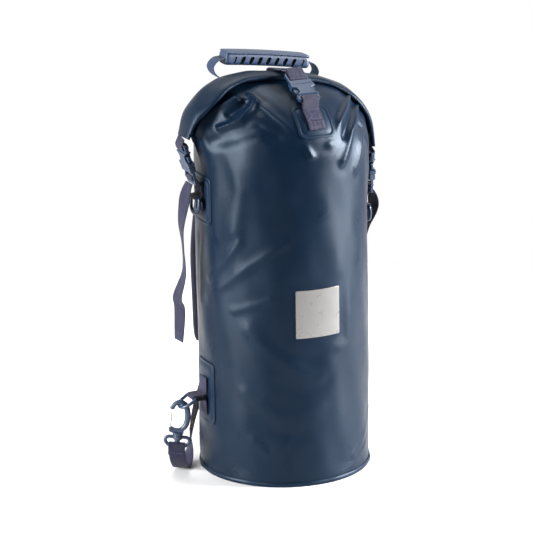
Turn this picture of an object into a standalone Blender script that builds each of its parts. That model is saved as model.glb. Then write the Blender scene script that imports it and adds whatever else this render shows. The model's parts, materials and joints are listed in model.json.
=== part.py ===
"""Roll-top dry bag carried on two shoulder straps, as an assembly of separate pieces.

Metres, +Z up. The origin is the centre of the base's underside, the front faces -Y, and the mouth
is rolled along X. Left and right are as seen from the front: left is -X.
"""

import math

import bmesh
import bpy
from mathutils import Matrix, Vector

# Driving dimensions
BODY_RADIUS = 0.128
WALL = 0.002
GAP = 0.0004
LIFT = 0.0006  # a welded piece's inner face stands this far off the faceted wall
BASE_THICKNESS = 0.0025
SEAM_HEIGHT = 0.008
AROUND = 44
SHOULDER_SIDE_Z = 0.462
SHOULDER_FRONT_Z = 0.490
ROLL_Y = -0.007
ROLL_HALF_DEPTH = 0.022
ROLL_HALF_THICKNESS = 0.006
TOP_SLOPE = -0.14  # the rolled mouth hangs lower on the right
WEBBING = 0.025
WEB_THICKNESS = 0.0016
PATCH_WIDTH = 0.058
PATCH_THICKNESS = 0.0012
CORNER = 0.010
FRONT_X = 0.006  # the front buckle hangs a little to the right of the middle
FRONT_TILT = 27  # degrees that the front buckle leans back
MOUTH_STEPS = 96  # places along the rolled mouth that the shell's upper edge is taken from
MOUTH_HALF_GAP = 0.0035
GRIP_HALF = 0.0675
HANDLE_MIDDLE = (-0.007, 0.0500, 0.5765)
HANDLE_ANCHOR_REACH = 0.077
SLOT_HALF = 0.0133  # half the width of a slot for the webbing
SLOT = 0.0048
D_ROD = 0.0022
HOOK_ROD = 0.0036
EYE_ROD = 0.0021
STUD_RADIUS = 0.0030
PAD_HALF_WIDTH = 0.031
PAD_HALF_THICKNESS = 0.0055
STRAP_FOOT_RADIUS = 0.1553  # where the lower strap meets the adjuster, from the bag's axis

# The middle line of the rolled mouth, from its middle to each end, before the slope
ROLL_LEFT = [(0, 0.5935), (-0.05, 0.591), (-0.09, 0.581), (-0.123, 0.561), (-0.145, 0.532), (-0.157, 0.497)]
ROLL_RIGHT = [(0, 0.5935), (0.05, 0.591), (0.09, 0.581), (0.119, 0.561), (0.1340, 0.532), (0.1405, 0.4947)]

# Half outlines of the side-release buckle, from its middle line outwards, mouth at y 0
FEMALE_HALF = [(0.018, 0), (0.018, -0.0055), (0.0105, -0.0088), (0.0093, -0.0145)]
FEMALE_HALF += [(0.0115, -0.0185), (0.0168, -0.022), (0.0168, -0.0305), (0.0145, -0.0325)]
MALE_HALF = [(0.0030, -0.013), (0.0030, 0.0004), (0.0168, 0.0004), (0.0172, 0.0075)]
MALE_HALF += [(0.0160, 0.0095), (0.0160, 0.0275), (0.0140, 0.0295)]
PRONG_HALF = [(0.0095, 0.0001), (0.0130, 0.0001), (0.0132, -0.0059), (0.0162, -0.0068)]
PRONG_HALF += [(0.0158, -0.0115), (0.0132, -0.0155), (0.0100, -0.0158), (0.0094, -0.006)]
# Webbing through the ladder, from its short free end: over, down, back under, up and over again
LADDER_PATH = [(0.0345, 0.0066), (0.0266, 0.0062), (0.0172, 0.0037), (0.0142, 0.0030), (0.0133, 0.0)]
LADDER_PATH += [(0.0142, -0.0030), (0.0172, -0.0037), (0.0202, -0.0030), (0.0212, 0.0)]
LADDER_PATH += [(0.0224, 0.0034), (0.0270, 0.0040)]
# The same from the wall side, ending where the free tail starts
SIDE_LADDER_PATH = [(0.0310, -0.0046), (0.0266, -0.0039), (0.0224, -0.0034), (0.0212, 0.0)]
SIDE_LADDER_PATH += [(0.0202, 0.0030), (0.0172, 0.0037), (0.0144, 0.0028)]
TAIL_PIVOT = (0, 0.0262, 0.0054)

# The snap hook's bow from its foot to its nose, and the outline of its foot
HOOK_LINE = [(0.0035, 0.0235), (0.0098, 0.0300), (0.0126, 0.0400), (0.0124, 0.0510)]
HOOK_LINE += [(0.0090, 0.0620), (0.0010, 0.0672), (-0.0070, 0.0640), (-0.0108, 0.0575)]
HOOK_FOOT = [(-0.0132, 0.0215), (-0.0140, 0.0270), (-0.0095, 0.0282), (-0.0060, 0.0262)]
HOOK_FOOT += [(0.0, 0.0262), (0.0080, 0.0275), (0.0085, 0.0195), (-0.0085, 0.0195)]
# (radius, height) up the stud that turns in the swivel eye
STUD = [(0.0040, 0.0052), (0.0045, 0.0072), (STUD_RADIUS, 0.0074), (STUD_RADIUS, 0.0163)]
STUD += [(0.0076, 0.0165), (0.0080, 0.0200)]

# Half of the handle webbing's line, from its middle round the end of the grip and back under
HANDLE_HALF = [(0.0, 0.0320), (0.034, 0.0316), (0.0685, 0.0304), (0.0795, 0.0262)]
HANDLE_HALF += [(0.0850, 0.0170), (0.0815, 0.0085), (0.0745, 0.0030)]
# (distance from the bag's axis, degrees round it, height) down the middle of a shoulder pad
PAD_LINE = [(0.1380, 70, 0.462), (0.1450, 70, 0.435), (0.1590, 70, 0.370)]
PAD_LINE += [(0.1660, 69, 0.300), (0.1620, 68, 0.220), (0.1560, 66, 0.160)]
LEFT_TAIL = [(-0.1510, 0.000, 0.437), (-0.1550, 0.001, 0.4185), (-0.1590, 0.004, 0.384)]
LEFT_TAIL += [(-0.1570, 0.004, 0.352), (-0.1560, 0.004, 0.312), (-0.1640, 0.012, 0.2735)]
LEFT_TAIL += [(-0.1610, 0.012, 0.2535), (-0.1635, 0.012, 0.206)]
RIGHT_TAIL = [(0.1500, 0.000, 0.393), (0.1515, 0.004, 0.375), (0.1490, 0.018, 0.345)]
RIGHT_TAIL += [(0.1440, 0.026, 0.300), (0.1420, 0.028, 0.250), (0.1425, 0.029, 0.200)]
RIGHT_TAIL += [(0.1430, 0.030, 0.166)]

NAVY = (0.035, 0.075, 0.14)
NAVY_LIGHT = (0.05, 0.095, 0.17)
WEB_NAVY = (0.045, 0.045, 0.105)
HARDWARE_BLUE = (0.045, 0.10, 0.19)
SILVER = (0.55, 0.57, 0.60)
STEEL = (0.72, 0.70, 0.66)
BLACK = (0.02, 0.02, 0.025)


def clear_scene():
    for old in list(bpy.data.objects):
        bpy.data.objects.remove(old, do_unlink=True)


def material(name, colour, roughness, metallic=0.0):
    made = bpy.data.materials.get(name) or bpy.data.materials.new(name)
    made.use_nodes = True
    shader = made.node_tree.nodes["Principled BSDF"]
    shader.inputs["Base Color"].default_value = (*colour, 1.0)
    shader.inputs["Roughness"].default_value = roughness
    shader.inputs["Metallic"].default_value = metallic
    return made


def look(kind):
    looks = {
        "coated": (NAVY, 0.38, 0.0),
        "weld": (NAVY_LIGHT, 0.42, 0.0),
        "webbing": (WEB_NAVY, 0.8, 0.0),
        "plastic": (HARDWARE_BLUE, 0.35, 0.0),
        "rubber": (HARDWARE_BLUE, 0.6, 0.0),
        "label": (SILVER, 0.3, 0.3),
        "wire": (STEEL, 0.3, 1.0),
        "stiffener": (BLACK, 0.5, 0.0),
        "padding": (WEB_NAVY, 0.85, 0.0),
    }
    return material(kind, *looks[kind])


def mesh_object(name, points, faces, kind, origin=None, helper=False):
    """A mesh object whose faces point out; its own origin goes to `origin`, its joint's axis."""
    mesh = bpy.data.meshes.new(name)
    middle = Vector(origin) if origin is not None else Vector()
    mesh.from_pydata([Vector(p) - middle for p in points], [], faces)
    work = bmesh.new()
    work.from_mesh(mesh)
    bmesh.ops.recalc_face_normals(work, faces=work.faces)
    work.to_mesh(mesh)
    work.free()
    made = bpy.data.objects.new(name, mesh)
    made.location = middle
    bpy.context.scene.collection.objects.link(made)
    mesh.shade_smooth()
    mesh.set_sharp_from_angle(angle=math.radians(35))
    if helper:
        made.hide_render = True
        made.display_type = "WIRE"
    else:
        mesh.materials.append(look(kind))
    return made


def boolean(target, operation, helper):
    step = target.modifiers.new(helper.name, "BOOLEAN")
    step.operation = operation
    step.object = helper
    step.solver = "EXACT"


def rings_solid(name, rings, kind, origin=None, helper=False):
    """One closed solid through a row of equal rings of points, capped at both ends."""
    count = len(rings[0])
    points = [p for ring in rings for p in ring]
    faces = [tuple(range(count)), tuple((len(rings) - 1) * count + i for i in range(count))]
    for r in range(len(rings) - 1):
        for i in range(count):
            j = (i + 1) % count
            faces.append((r * count + i, r * count + j, (r + 1) * count + j, (r + 1) * count + i))
    return mesh_object(name, points, faces, kind, origin, helper)


def smooth_line(points, steps):
    """Points on a Catmull-Rom curve through the given points."""
    points = [Vector(p) for p in points]
    ends = [2 * points[0] - points[1]] + points + [2 * points[-1] - points[-2]]
    found = []
    for i in range(1, len(ends) - 2):
        a, b, c, d = ends[i - 1 : i + 3]
        for k in range(steps):
            t = k / steps
            second = 2 * a - 5 * b + 4 * c - d
            third = 3 * b - a - 3 * c + d
            found.append(0.5 * (2 * b + (c - a) * t + second * t**2 + third * t**3))
    return found + [points[-1]]


def tangents(line):
    last = len(line) - 1
    return [(line[min(i + 1, last)] - line[max(i - 1, 0)]).normalized() for i in range(len(line))]


def ribbon(name, line, acrosses, kind="webbing", width=WEBBING, thickness=WEB_THICKNESS, origin=None):
    """Flat webbing along a line; acrosses are the directions that its width runs in."""
    rings = []
    for point, along, across in zip(line, tangents(line), acrosses):
        face = Vector(across).cross(along).normalized() * thickness / 2
        side = along.cross(face).normalized() * width / 2
        rings.append([point + side + face, point - side + face, point - side - face, point + side - face])
    return rings_solid(name, rings, kind, origin)


def rod(name, points, radius, kind, closed=False, origin=None, sides=3):
    """A round rod along points, as a curve with a bevel."""
    middle = Vector(origin) if origin is not None else Vector()
    curve = bpy.data.curves.new(name, "CURVE")
    curve.dimensions = "3D"
    curve.bevel_depth = radius
    curve.bevel_resolution = sides - 1
    curve.use_fill_caps = True
    spline = curve.splines.new("POLY")
    spline.points.add(len(points) - 1)
    for knot, point in zip(spline.points, points):
        knot.co = (*(Vector(point) - middle), 1.0)
    spline.use_cyclic_u = closed
    made = bpy.data.objects.new(name, curve)
    made.location = middle
    bpy.context.scene.collection.objects.link(made)
    curve.materials.append(look(kind))
    return made


def frame_at(origin, x_axis, y_axis):
    """A right-handed frame: local y as given, local x as near as it can be, local z out of their plane."""
    y = Vector(y_axis).normalized()
    z = Vector(x_axis).cross(y).normalized()
    x = y.cross(z)
    rows = Matrix((x, y, z)).transposed().to_4x4()
    return Matrix.Translation(Vector(origin)) @ rows


def plate(name, outline, low, high, place, kind, origin=None, helper=False):
    """An outline in the local x and y, extruded from low to high along the local z."""
    rings = [[place @ Vector((x, y, z)) for x, y in outline] for z in (low, high)]
    return rings_solid(name, rings, kind, origin, helper)


def block(name, x_span, y_span, z_span, place, helper=True):
    """A box given by its spans along the local axes."""
    (left, right), (low, high) = x_span, y_span
    outline = [(left, low), (right, low), (right, high), (left, high)]
    return plate(name, outline, *z_span, place, None, helper=helper)


def arc(cx, cy, radius, start, end, count):
    """Points on an arc in the plane, angles in degrees."""
    found = []
    for i in range(count + 1):
        angle = math.radians(start + (end - start) * i / count)
        found.append((cx + radius * math.cos(angle), cy + radius * math.sin(angle)))
    return found


# ---------------------------------------------------------------- bag


def roll_frames(steps, reach=1.0):
    """Places along the rolled mouth from left to right: (centre, outward normal, share of the half)."""
    full = smooth_line([(x, 0, z) for x, z in list(reversed(ROLL_LEFT[1:])) + ROLL_RIGHT], 6)
    lengths = [0.0]
    for a, b in zip(full, full[1:]):
        lengths.append(lengths[-1] + (b - a).length)
    found = []
    for i in range(steps + 1):
        share = (2 * i / steps - 1) * reach
        wanted = (share + 1) / 2 * lengths[-1]
        k = max(1, next((n for n, d in enumerate(lengths) if d >= wanted), len(lengths) - 1))
        along = (full[k] - full[k - 1]).normalized()
        point = full[k - 1] + along * (wanted - lengths[k - 1])
        found.append((Vector((point.x, ROLL_Y, point.z)), Vector((-along.z, 0, along.x)), share))
    return found


def sloped(point, weight=1.0):
    return Vector((point.x, point.y, point.z + TOP_SLOPE * point.x * weight))


MOUTH = roll_frames(MOUTH_STEPS, 0.95)


def skin(angle, share, inset):
    """A point on the shell: share 0 is where the shoulder starts, 1 the mouth under the roll."""
    side = abs(math.sin(angle))
    facing = 1 if math.sin(angle) > 0 else -1
    radius = BODY_RADIUS - inset
    low = SHOULDER_SIDE_Z + (SHOULDER_FRONT_Z - SHOULDER_SIDE_Z) * side**2
    start = Vector((radius * math.cos(angle), radius * math.sin(angle), low))
    wrapped = abs(math.atan2(math.sin(angle), math.cos(angle)))
    across = (1 - 2 * wrapped / math.pi) * (1 - inset)
    centre, normal, _ = MOUTH[round((across * (1 - 1.2 * inset) + 1) / 2 * MOUTH_STEPS)]
    drop = ROLL_HALF_THICKNESS + 2 * GAP + 0.6 * inset
    end = centre - normal * drop
    end.y += facing * (MOUTH_HALF_GAP - 0.75 * inset) * min(1.0, 4 * side)
    first = start + Vector((0, 0, 0.012 + 0.046 * side))
    second = end + Vector((0, facing * 0.073 * side, -0.004 - 0.006 * side))
    second -= normal * 0.012 * (1 - side)
    t = share
    point = start * (1 - t) ** 3 + first * 3 * t * (1 - t) ** 2 + second * 3 * t * t * (1 - t) + end * t**3
    return sloped(point, t * t)


def shell_ring(level, inset):
    angles = [2 * math.pi * i / AROUND for i in range(AROUND)]
    if level < 0:  # on the straight wall, level -1 at its foot
        foot = BASE_THICKNESS + GAP
        tops = [skin(a, 0, inset) for a in angles]
        return [Vector((p.x, p.y, foot + (p.z - foot) * (1 + level))) for p in tops]
    return [skin(a, level, inset) for a in angles]


def bag_shell():
    levels = [-1, -2 / 3, -1 / 3, 0, 0.14, 0.28, 0.42, 0.56, 0.7, 0.85, 1]
    rings = [shell_ring(v, 0) for v in levels] + [shell_ring(v, WALL) for v in reversed(levels)]
    count = len(rings)
    points = [p for ring in rings for p in ring]
    faces = []
    for r in range(count):
        s = (r + 1) % count
        for i in range(AROUND):
            j = (i + 1) % AROUND
            faces.append((r * AROUND + i, r * AROUND + j, s * AROUND + j, s * AROUND + i))
    mesh_object("bag_shell", points, faces, "coated")


def circle(radius, z):
    turns = [2 * math.pi * i / AROUND for i in range(AROUND)]
    return [(radius * math.cos(a), radius * math.sin(a), z) for a in turns]


def base():
    rings_solid("base_panel", [circle(BODY_RADIUS, 0), circle(BODY_RADIUS, BASE_THICKNESS)], "coated")
    inner = BODY_RADIUS + GAP
    outer = inner + 0.0018
    loops = [circle(inner, 0), circle(inner, SEAM_HEIGHT)]
    loops += [circle(outer, SEAM_HEIGHT - 0.001), circle(outer, 0)]
    points = [p for loop in loops for p in loop]
    faces = []
    for r in range(4):
        for i in range(AROUND):
            j = (i + 1) % AROUND
            s = (r + 1) % 4
            faces.append((r * AROUND + i, r * AROUND + j, s * AROUND + j, s * AROUND + i))
    mesh_object("base_seam", points, faces, "weld")


def oval(centre, normal, half_depth, half_thickness, count=12):
    """A flat oval section across the roll, with round edges."""
    ring = []
    for i in range(count):
        a = 2 * math.pi * i / count
        y = half_depth * math.copysign(abs(math.cos(a)) ** 0.7, math.cos(a))
        n = half_thickness * math.copysign(abs(math.sin(a)) ** 0.7, math.sin(a))
        ring.append(sloped(centre + Vector((0, y, 0)) + normal * n))
    return ring


def roll():
    """The mouth rolled into a flat tube, open at both ends, and the two strips that stiffen it."""
    frames = roll_frames(22)
    outer = [oval(c, n, ROLL_HALF_DEPTH, ROLL_HALF_THICKNESS) for c, n, _ in frames]
    inner = [oval(c, n, 0.0175, 0.0030) for c, n, _ in frames]
    rings = outer + inner[::-1]
    sides = len(rings[0])
    points = [p for ring in rings for p in ring]
    faces = []
    for r in range(len(rings)):
        s = (r + 1) % len(rings)
        for i in range(sides):
            j = (i + 1) % sides
            faces.append((r * sides + i, r * sides + j, s * sides + j, s * sides + i))
    mesh_object("rolled_mouth", points, faces, "coated")
    for name, level in (("mouth_stiffener_front", 0.0009), ("mouth_stiffener_back", -0.0009)):
        rings = []
        for centre, normal, _ in roll_frames(16, 0.97):
            low, high = level - 0.0006, level + 0.0006
            corners = [(-0.0120, low), (0.0120, low), (0.0120, high), (-0.0120, high)]
            rings.append([sloped(centre + Vector((0, y, 0)) + normal * n) for y, n in corners])
        rings_solid(name, rings, "stiffener")


# ---------------------------------------------------------------- welded patches


def on_wall(angle):
    """Places on the straight wall about an angle: across, up, distance off the wall."""
    def place(u, v, lift):
        a = angle + u / BODY_RADIUS
        r = BODY_RADIUS + lift
        return Vector((r * math.cos(a), r * math.sin(a), v))
    return place


def on_shoulder(x_middle, facing):
    """Places on the shoulder: across, distance up from where it starts, distance off it."""
    def place(u, v, lift):
        x = x_middle + u
        angle = facing * (math.pi / 2 - x / BODY_RADIUS)
        line = [skin(angle, i / 40, 0) for i in range(41)]
        distance = 0.0
        for a, b in zip(line, line[1:]):
            step = (b - a).length
            if distance + step >= v:
                break
            distance += step
        point = a.lerp(b, (v - distance) / step)
        beside = skin(angle + 0.02, 0.5, 0) - skin(angle - 0.02, 0.5, 0)
        normal = beside.cross(b - a).normalized()
        return point + normal * lift
    return place


def patch(name, place, middle, width, height, low, thickness, kind, columns=8, rows=1, corner=CORNER):
    """A rounded-corner sheet on a surface, with its inner face `low` above it."""
    spans = [-width / 2, -width / 2 + 0.35 * corner]
    inner = width - 2 * corner
    spans += [-inner / 2 + inner * i / (columns - 4) for i in range(columns - 3)]
    spans += [width / 2 - 0.35 * corner, width / 2]
    rings = []
    for u in spans:
        over = max(0.0, abs(u) - (width / 2 - corner))
        half = height / 2 - corner + math.sqrt(max(0.0, corner**2 - over**2))
        heights = [middle - half + 2 * half * k / rows for k in range(rows + 1)]
        ring = [place(u, v, low) for v in heights]
        ring += [place(u, v, low + thickness) for v in reversed(heights)]
        rings.append(ring)
    rings_solid(name, rings, kind)


# ---------------------------------------------------------------- buckles, rings and hooks

def mirrored(half):
    return list(half) + [(-x, y) for x, y in reversed(half)]


def buckle(label, place, pivot):
    """A side-release buckle about the female half's mouth: local y towards the male half's ladder."""
    female = plate(f"{label}_buckle_female", mirrored(FEMALE_HALF), -0.005, 0.005, place, "plastic")
    slot = (-SLOT_HALF, SLOT_HALF)
    through = (-0.01, 0.01)
    pocket = block(f"{label}_pocket", (-0.0166, 0.0166), (-0.017, 0.002), (-0.0027, 0.0027), place)
    boolean(female, "DIFFERENCE", pocket)
    boolean(female, "DIFFERENCE", block(f"{label}_loop", slot, (-0.0290, -0.0245), through, place))
    for side, span in (("over", (0.003, 0.02)), ("under", (-0.02, -0.003))):
        thinner = block(f"{label}_{side}", (-0.02, 0.02), (-0.034, -0.0225), span, place)
        boolean(female, "DIFFERENCE", thinner)
    male_outline = mirrored(MALE_HALF)
    male = plate(f"{label}_buckle_male", male_outline, -0.0022, 0.0022, place, "plastic", origin=pivot)
    body = block(f"{label}_body", (-0.0171, 0.0171), (0.0005, 0.0088), (-0.0046, 0.0046), place)
    boolean(male, "UNION", body)
    for low in (0.0108, 0.0188):
        cut = block(f"{label}_slot_{low}", slot, (low, low + SLOT), through, place)
        boolean(male, "DIFFERENCE", cut)
    for side, sign in (("a", 1), ("b", -1)):
        outline = [(sign * x, y) for x, y in PRONG_HALF]
        root = place @ Vector((sign * 0.0112, 0, 0))
        plate(f"{label}_prong_{side}", outline, -0.0023, 0.0023, place, "plastic", origin=root)


def d_ring(name, place, half_width=0.0150, depth=0.024):
    """A D-shaped ring: its straight bar on the local x axis, its bow towards the local -y."""
    bow = [(-half_width, -0.004)]
    bow += arc(0, -depth + half_width, half_width, 180, 360, 10)[1:-1]
    bow += [(half_width, -0.004)]
    bow += arc(half_width - 0.003, -0.003, 0.003, 0, 90, 3)
    bow += arc(-half_width + 0.003, -0.003, 0.003, 90, 180, 3)
    points = [place @ Vector((x, y, 0)) for x, y in bow]
    kept = [p for i, p in enumerate(points) if (p - points[i - 1]).length > 0.0008]
    rod(name, kept, D_ROD, "plastic", closed=True, origin=place.translation)


def fold_tab(name, place, out, ring_z, top, bottom, off=0.0026):
    """Webbing sewn flat above and below, folded out round a ring's bar: local x out, y up."""
    turn = D_ROD + 0.0005 + WEB_THICKNESS / 2
    upper = [(off, top), (off, (top + ring_z) / 2 + 0.002), (off + 0.0005, ring_z + 0.0065)]
    upper += [(off + 0.0028, ring_z + 0.0040), (out - 0.003, ring_z + turn)]
    around = arc(out, ring_z, turn, 90, -90, 8)
    lower = [(out - 0.003, ring_z - turn), (off + 0.0028, ring_z - 0.0040), (off + 0.0005, ring_z - 0.0065)]
    lower += [(off, (bottom + ring_z) / 2 - 0.002), (off, bottom)]
    flat = upper + around + lower
    line = [place(x, y) for x, y in flat]
    across = (place(0, 0, 1) - place(0, 0, 0)).normalized()
    return ribbon(name, line, [across] * len(line))


def radial(angle):
    """Places by distance off the wall, height, and distance across, about an angle of the wall."""
    out = Vector((math.cos(angle), math.sin(angle), 0))
    across = Vector((-math.sin(angle), math.cos(angle), 0))

    def place(x, y, z=0.0):
        return out * (BODY_RADIUS + x) + across * z + Vector((0, 0, y))
    return place


def turned(name, profile, place, sides=16):
    """A helper turned about the local y axis through (radius, y) pairs."""
    rings = []
    for radius, y in profile:
        turns = [2 * math.pi * i / sides for i in range(sides)]
        rings.append([place @ Vector((radius * math.cos(a), y, radius * math.sin(a))) for a in turns])
    return rings_solid(name, rings, None, helper=True)


def round_ring(place, centre, side, radius):
    """Eight points round a rod at a centre, in the plane of the local z and the given side."""
    turns = [math.pi * i / 4 for i in range(8)]
    flat = [(radius * math.cos(a), radius * math.sin(a)) for a in turns]
    return [place @ (centre + side * u + Vector((0, 0, w))) for u, w in flat]


def snap_hook(label, place):
    """A swivel snap hook standing on its eye: local x across, y up, the eye's webbing bar at y 0."""
    line = smooth_line([(x, y, 0) for x, y in HOOK_LINE], 3)
    rings = []
    for point, along in zip(line, tangents(line)):
        rings.append(round_ring(place, point, Vector((-along.y, along.x, 0)), HOOK_ROD))
    axis_foot = place @ Vector((0, 0.016, 0))
    hook = rings_solid(f"{label}_hook", rings, "plastic", origin=axis_foot)
    foot = plate(f"{label}_foot", HOOK_FOOT, -0.0034, 0.0034, place, None, helper=True)
    boolean(hook, "UNION", foot)
    boolean(hook, "UNION", turned(f"{label}_stud", STUD, place))
    gate = [place @ Vector(p) for p in ((-0.0112, 0.0288, 0), (-0.0112, 0.0400, 0), (-0.0110, 0.0526, 0))]
    rod(f"{label}_gate", gate, 0.0011, "wire", origin=gate[0], sides=2)

    loop = [(0.0135, 0.0)]
    loop += arc(0.0125, 0.0075, 0.0055, -50, 90, 5)
    loop += arc(-0.0125, 0.0075, 0.0055, 90, 230, 5)
    loop += [(-0.0135, 0.0)]
    middle = Vector((0, 0.006, 0))
    count = len(loop)
    points = []
    for k in range(count):
        here, before, after = (Vector((*loop[(k + d) % count], 0)) for d in (0, -1, 1))
        along = (after - before).normalized()
        side = Vector((along.y, -along.x, 0))
        if side.dot(here - middle) < 0:
            side = -side
        points += round_ring(place, here, side, EYE_ROD)
    faces = []
    for r in range(count):
        s = (r + 1) % count
        for i in range(8):
            j = (i + 1) % 8
            faces.append((r * 8 + i, r * 8 + j, s * 8 + j, s * 8 + i))
    eye = mesh_object(f"{label}_swivel_eye", points, faces, "plastic", origin=place.translation)
    boolean(eye, "UNION", turned(f"{label}_boss", ((0.0064, 0.0092), (0.0064, 0.0158)), place))
    boolean(eye, "DIFFERENCE", turned(f"{label}_bore", ((0.0034, 0.0080), (0.0034, 0.0170)), place))


# ---------------------------------------------------------------- closures and straps


def front_closure():
    """The buckle over the front of the rolled mouth, its sewn tab and its strap over the roll."""
    tilt = math.radians(FRONT_TILT)
    up = Vector((0, math.cos(tilt), math.sin(tilt)))
    across = Vector((1, 0, 0))
    mouth = Vector((FRONT_X, -0.036, 0.6015)) - up * 0.0295
    place = frame_at(mouth, across, up)
    buckle("front", place, mouth)
    shoulder = on_shoulder(FRONT_X, -1)
    patch("front_patch", shoulder, 0.062, PATCH_WIDTH, 0.054, LIFT, PATCH_THICKNESS, "weld", rows=6)
    off = off_wall() + 0.0004
    second = off + WEB_THICKNESS + GAP
    tab = [shoulder(0, v, off) for v in (0.047, 0.058, 0.069, 0.079)]
    around = [(-0.0350, -0.0044), (-0.0308, -0.0045), (-0.0267, -0.0040), (-0.0263, 0.0)]
    around += [(-0.0267, 0.0040), (-0.0308, 0.0045), (-0.0350, 0.0030)]
    tab += [place @ Vector((0, y, z)) for y, z in around]
    tab += [shoulder(0, v, second) for v in (0.079, 0.069, 0.060)]
    line = smooth_line(tab, 2)
    ribbon("front_tab", line, [across] * len(line))

    strap = [place @ Vector((0, y, z)) for y, z in LADDER_PATH]
    level = len(strap)
    over = [(-0.0295, 0.6062), (-0.0180, 0.6034), (-0.0070, 0.6020)]
    over += [(0.0070, 0.6016), (0.0165, 0.5985), (0.0220, 0.5915)]
    strap += [Vector((FRONT_X - 0.002 - 0.12 * (y + 0.03), y, z)) for y, z in over]
    back = on_shoulder(-0.001, 1)
    strap += [back(0, v, off) for v in (0.115, 0.095, 0.075, 0.058)]
    line = smooth_line(strap, 2)
    sloping = Vector((1, 0, TOP_SLOPE))
    ribbon("front_strap", line, [across if i < 2 * level else sloping for i in range(len(line))])
    patch("front_strap_patch", back, 0.066, 0.046, 0.044, LIFT, PATCH_THICKNESS, "weld", rows=4)


def side_closure(side, top, bottom, drop, route):
    """A side buckle from the end of the rolled mouth to its anchor patch, with a hanging tail."""
    sign = -1 if side == "left" else 1
    angle = math.pi if side == "left" else 0.0
    label = f"{side}_side"
    down = (Vector(bottom) - Vector(top)).normalized()
    across = Vector((0, -sign, 0))
    mouth = Vector(top) + down * 0.0325
    place = frame_at(mouth, across, down)
    buckle(label, place, mouth)
    wall = on_wall(angle)
    near = radial(angle)
    patch(f"{label}_patch", wall, 0.422 - drop, PATCH_WIDTH, 0.072, LIFT, PATCH_THICKNESS, "weld")

    # The loop that ties the female half to the end of the rolled mouth
    centre, normal, _ = roll_frames(28)[0 if side == "left" else -1]
    along = Vector((normal.z * sign, 0, -abs(normal.x)))
    start = sloped(centre) + along * 0.0045
    loop = [Vector((start.x, -0.0020, start.z))]
    around = [(-0.0345, 0.0038), (-0.0308, 0.0044), (-0.0267, 0.0040), (-0.0263, 0.0)]
    around += [(-0.0267, -0.0040), (-0.0308, -0.0044), (-0.0350, -0.0030)]
    loop += [place @ Vector((0, y, z)) for y, z in around]
    line = smooth_line(loop, 2)
    ribbon(f"{label}_end_loop", line, [place.to_3x3() @ Vector((1, 0, 0))] * len(line))

    # The tab that holds the D-ring
    ring_z = 0.4250 - drop
    fold_tab(f"{label}_ring_tab", near, 0.0090, ring_z, ring_z + 0.0205, ring_z - 0.0200, off=off_wall())
    out = (near(1, 0) - near(0, 0)).normalized()
    tangent = Vector((-out.y, out.x, 0))
    d_ring(f"{label}_d_ring", frame_at(near(0.0090, ring_z), tangent, Vector((0, 0, 0.99)) - out * 0.10))

    # The strap, sewn on over the tab's upper end, up to and through the ladder, and its free tail
    second = off_wall() + WEB_THICKNESS + GAP
    strap = [near(second, ring_z + d) for d in (0.0095, 0.0150, 0.0190)]
    strap += [place @ Vector((0, y, z)) for y, z in SIDE_LADDER_PATH]
    width = place.to_3x3() @ Vector((1, 0, 0))
    line = smooth_line(strap, 2)
    ribbon(f"{label}_strap", line, [width] * len(line))
    pivot = place @ Vector(TAIL_PIVOT)
    line = smooth_line([pivot] + [Vector(p) for p in route], 3)
    ribbon(f"{label}_tail", line, [width] * len(line), origin=pivot)


def off_wall():
    """Distance from the wall to the middle of webbing that lies on a patch."""
    return LIFT + PATCH_THICKNESS + GAP + WEB_THICKNESS / 2


def polar(radius, degrees, z):
    a = math.radians(degrees)
    return Vector((radius * math.cos(a), radius * math.sin(a), z))


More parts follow.
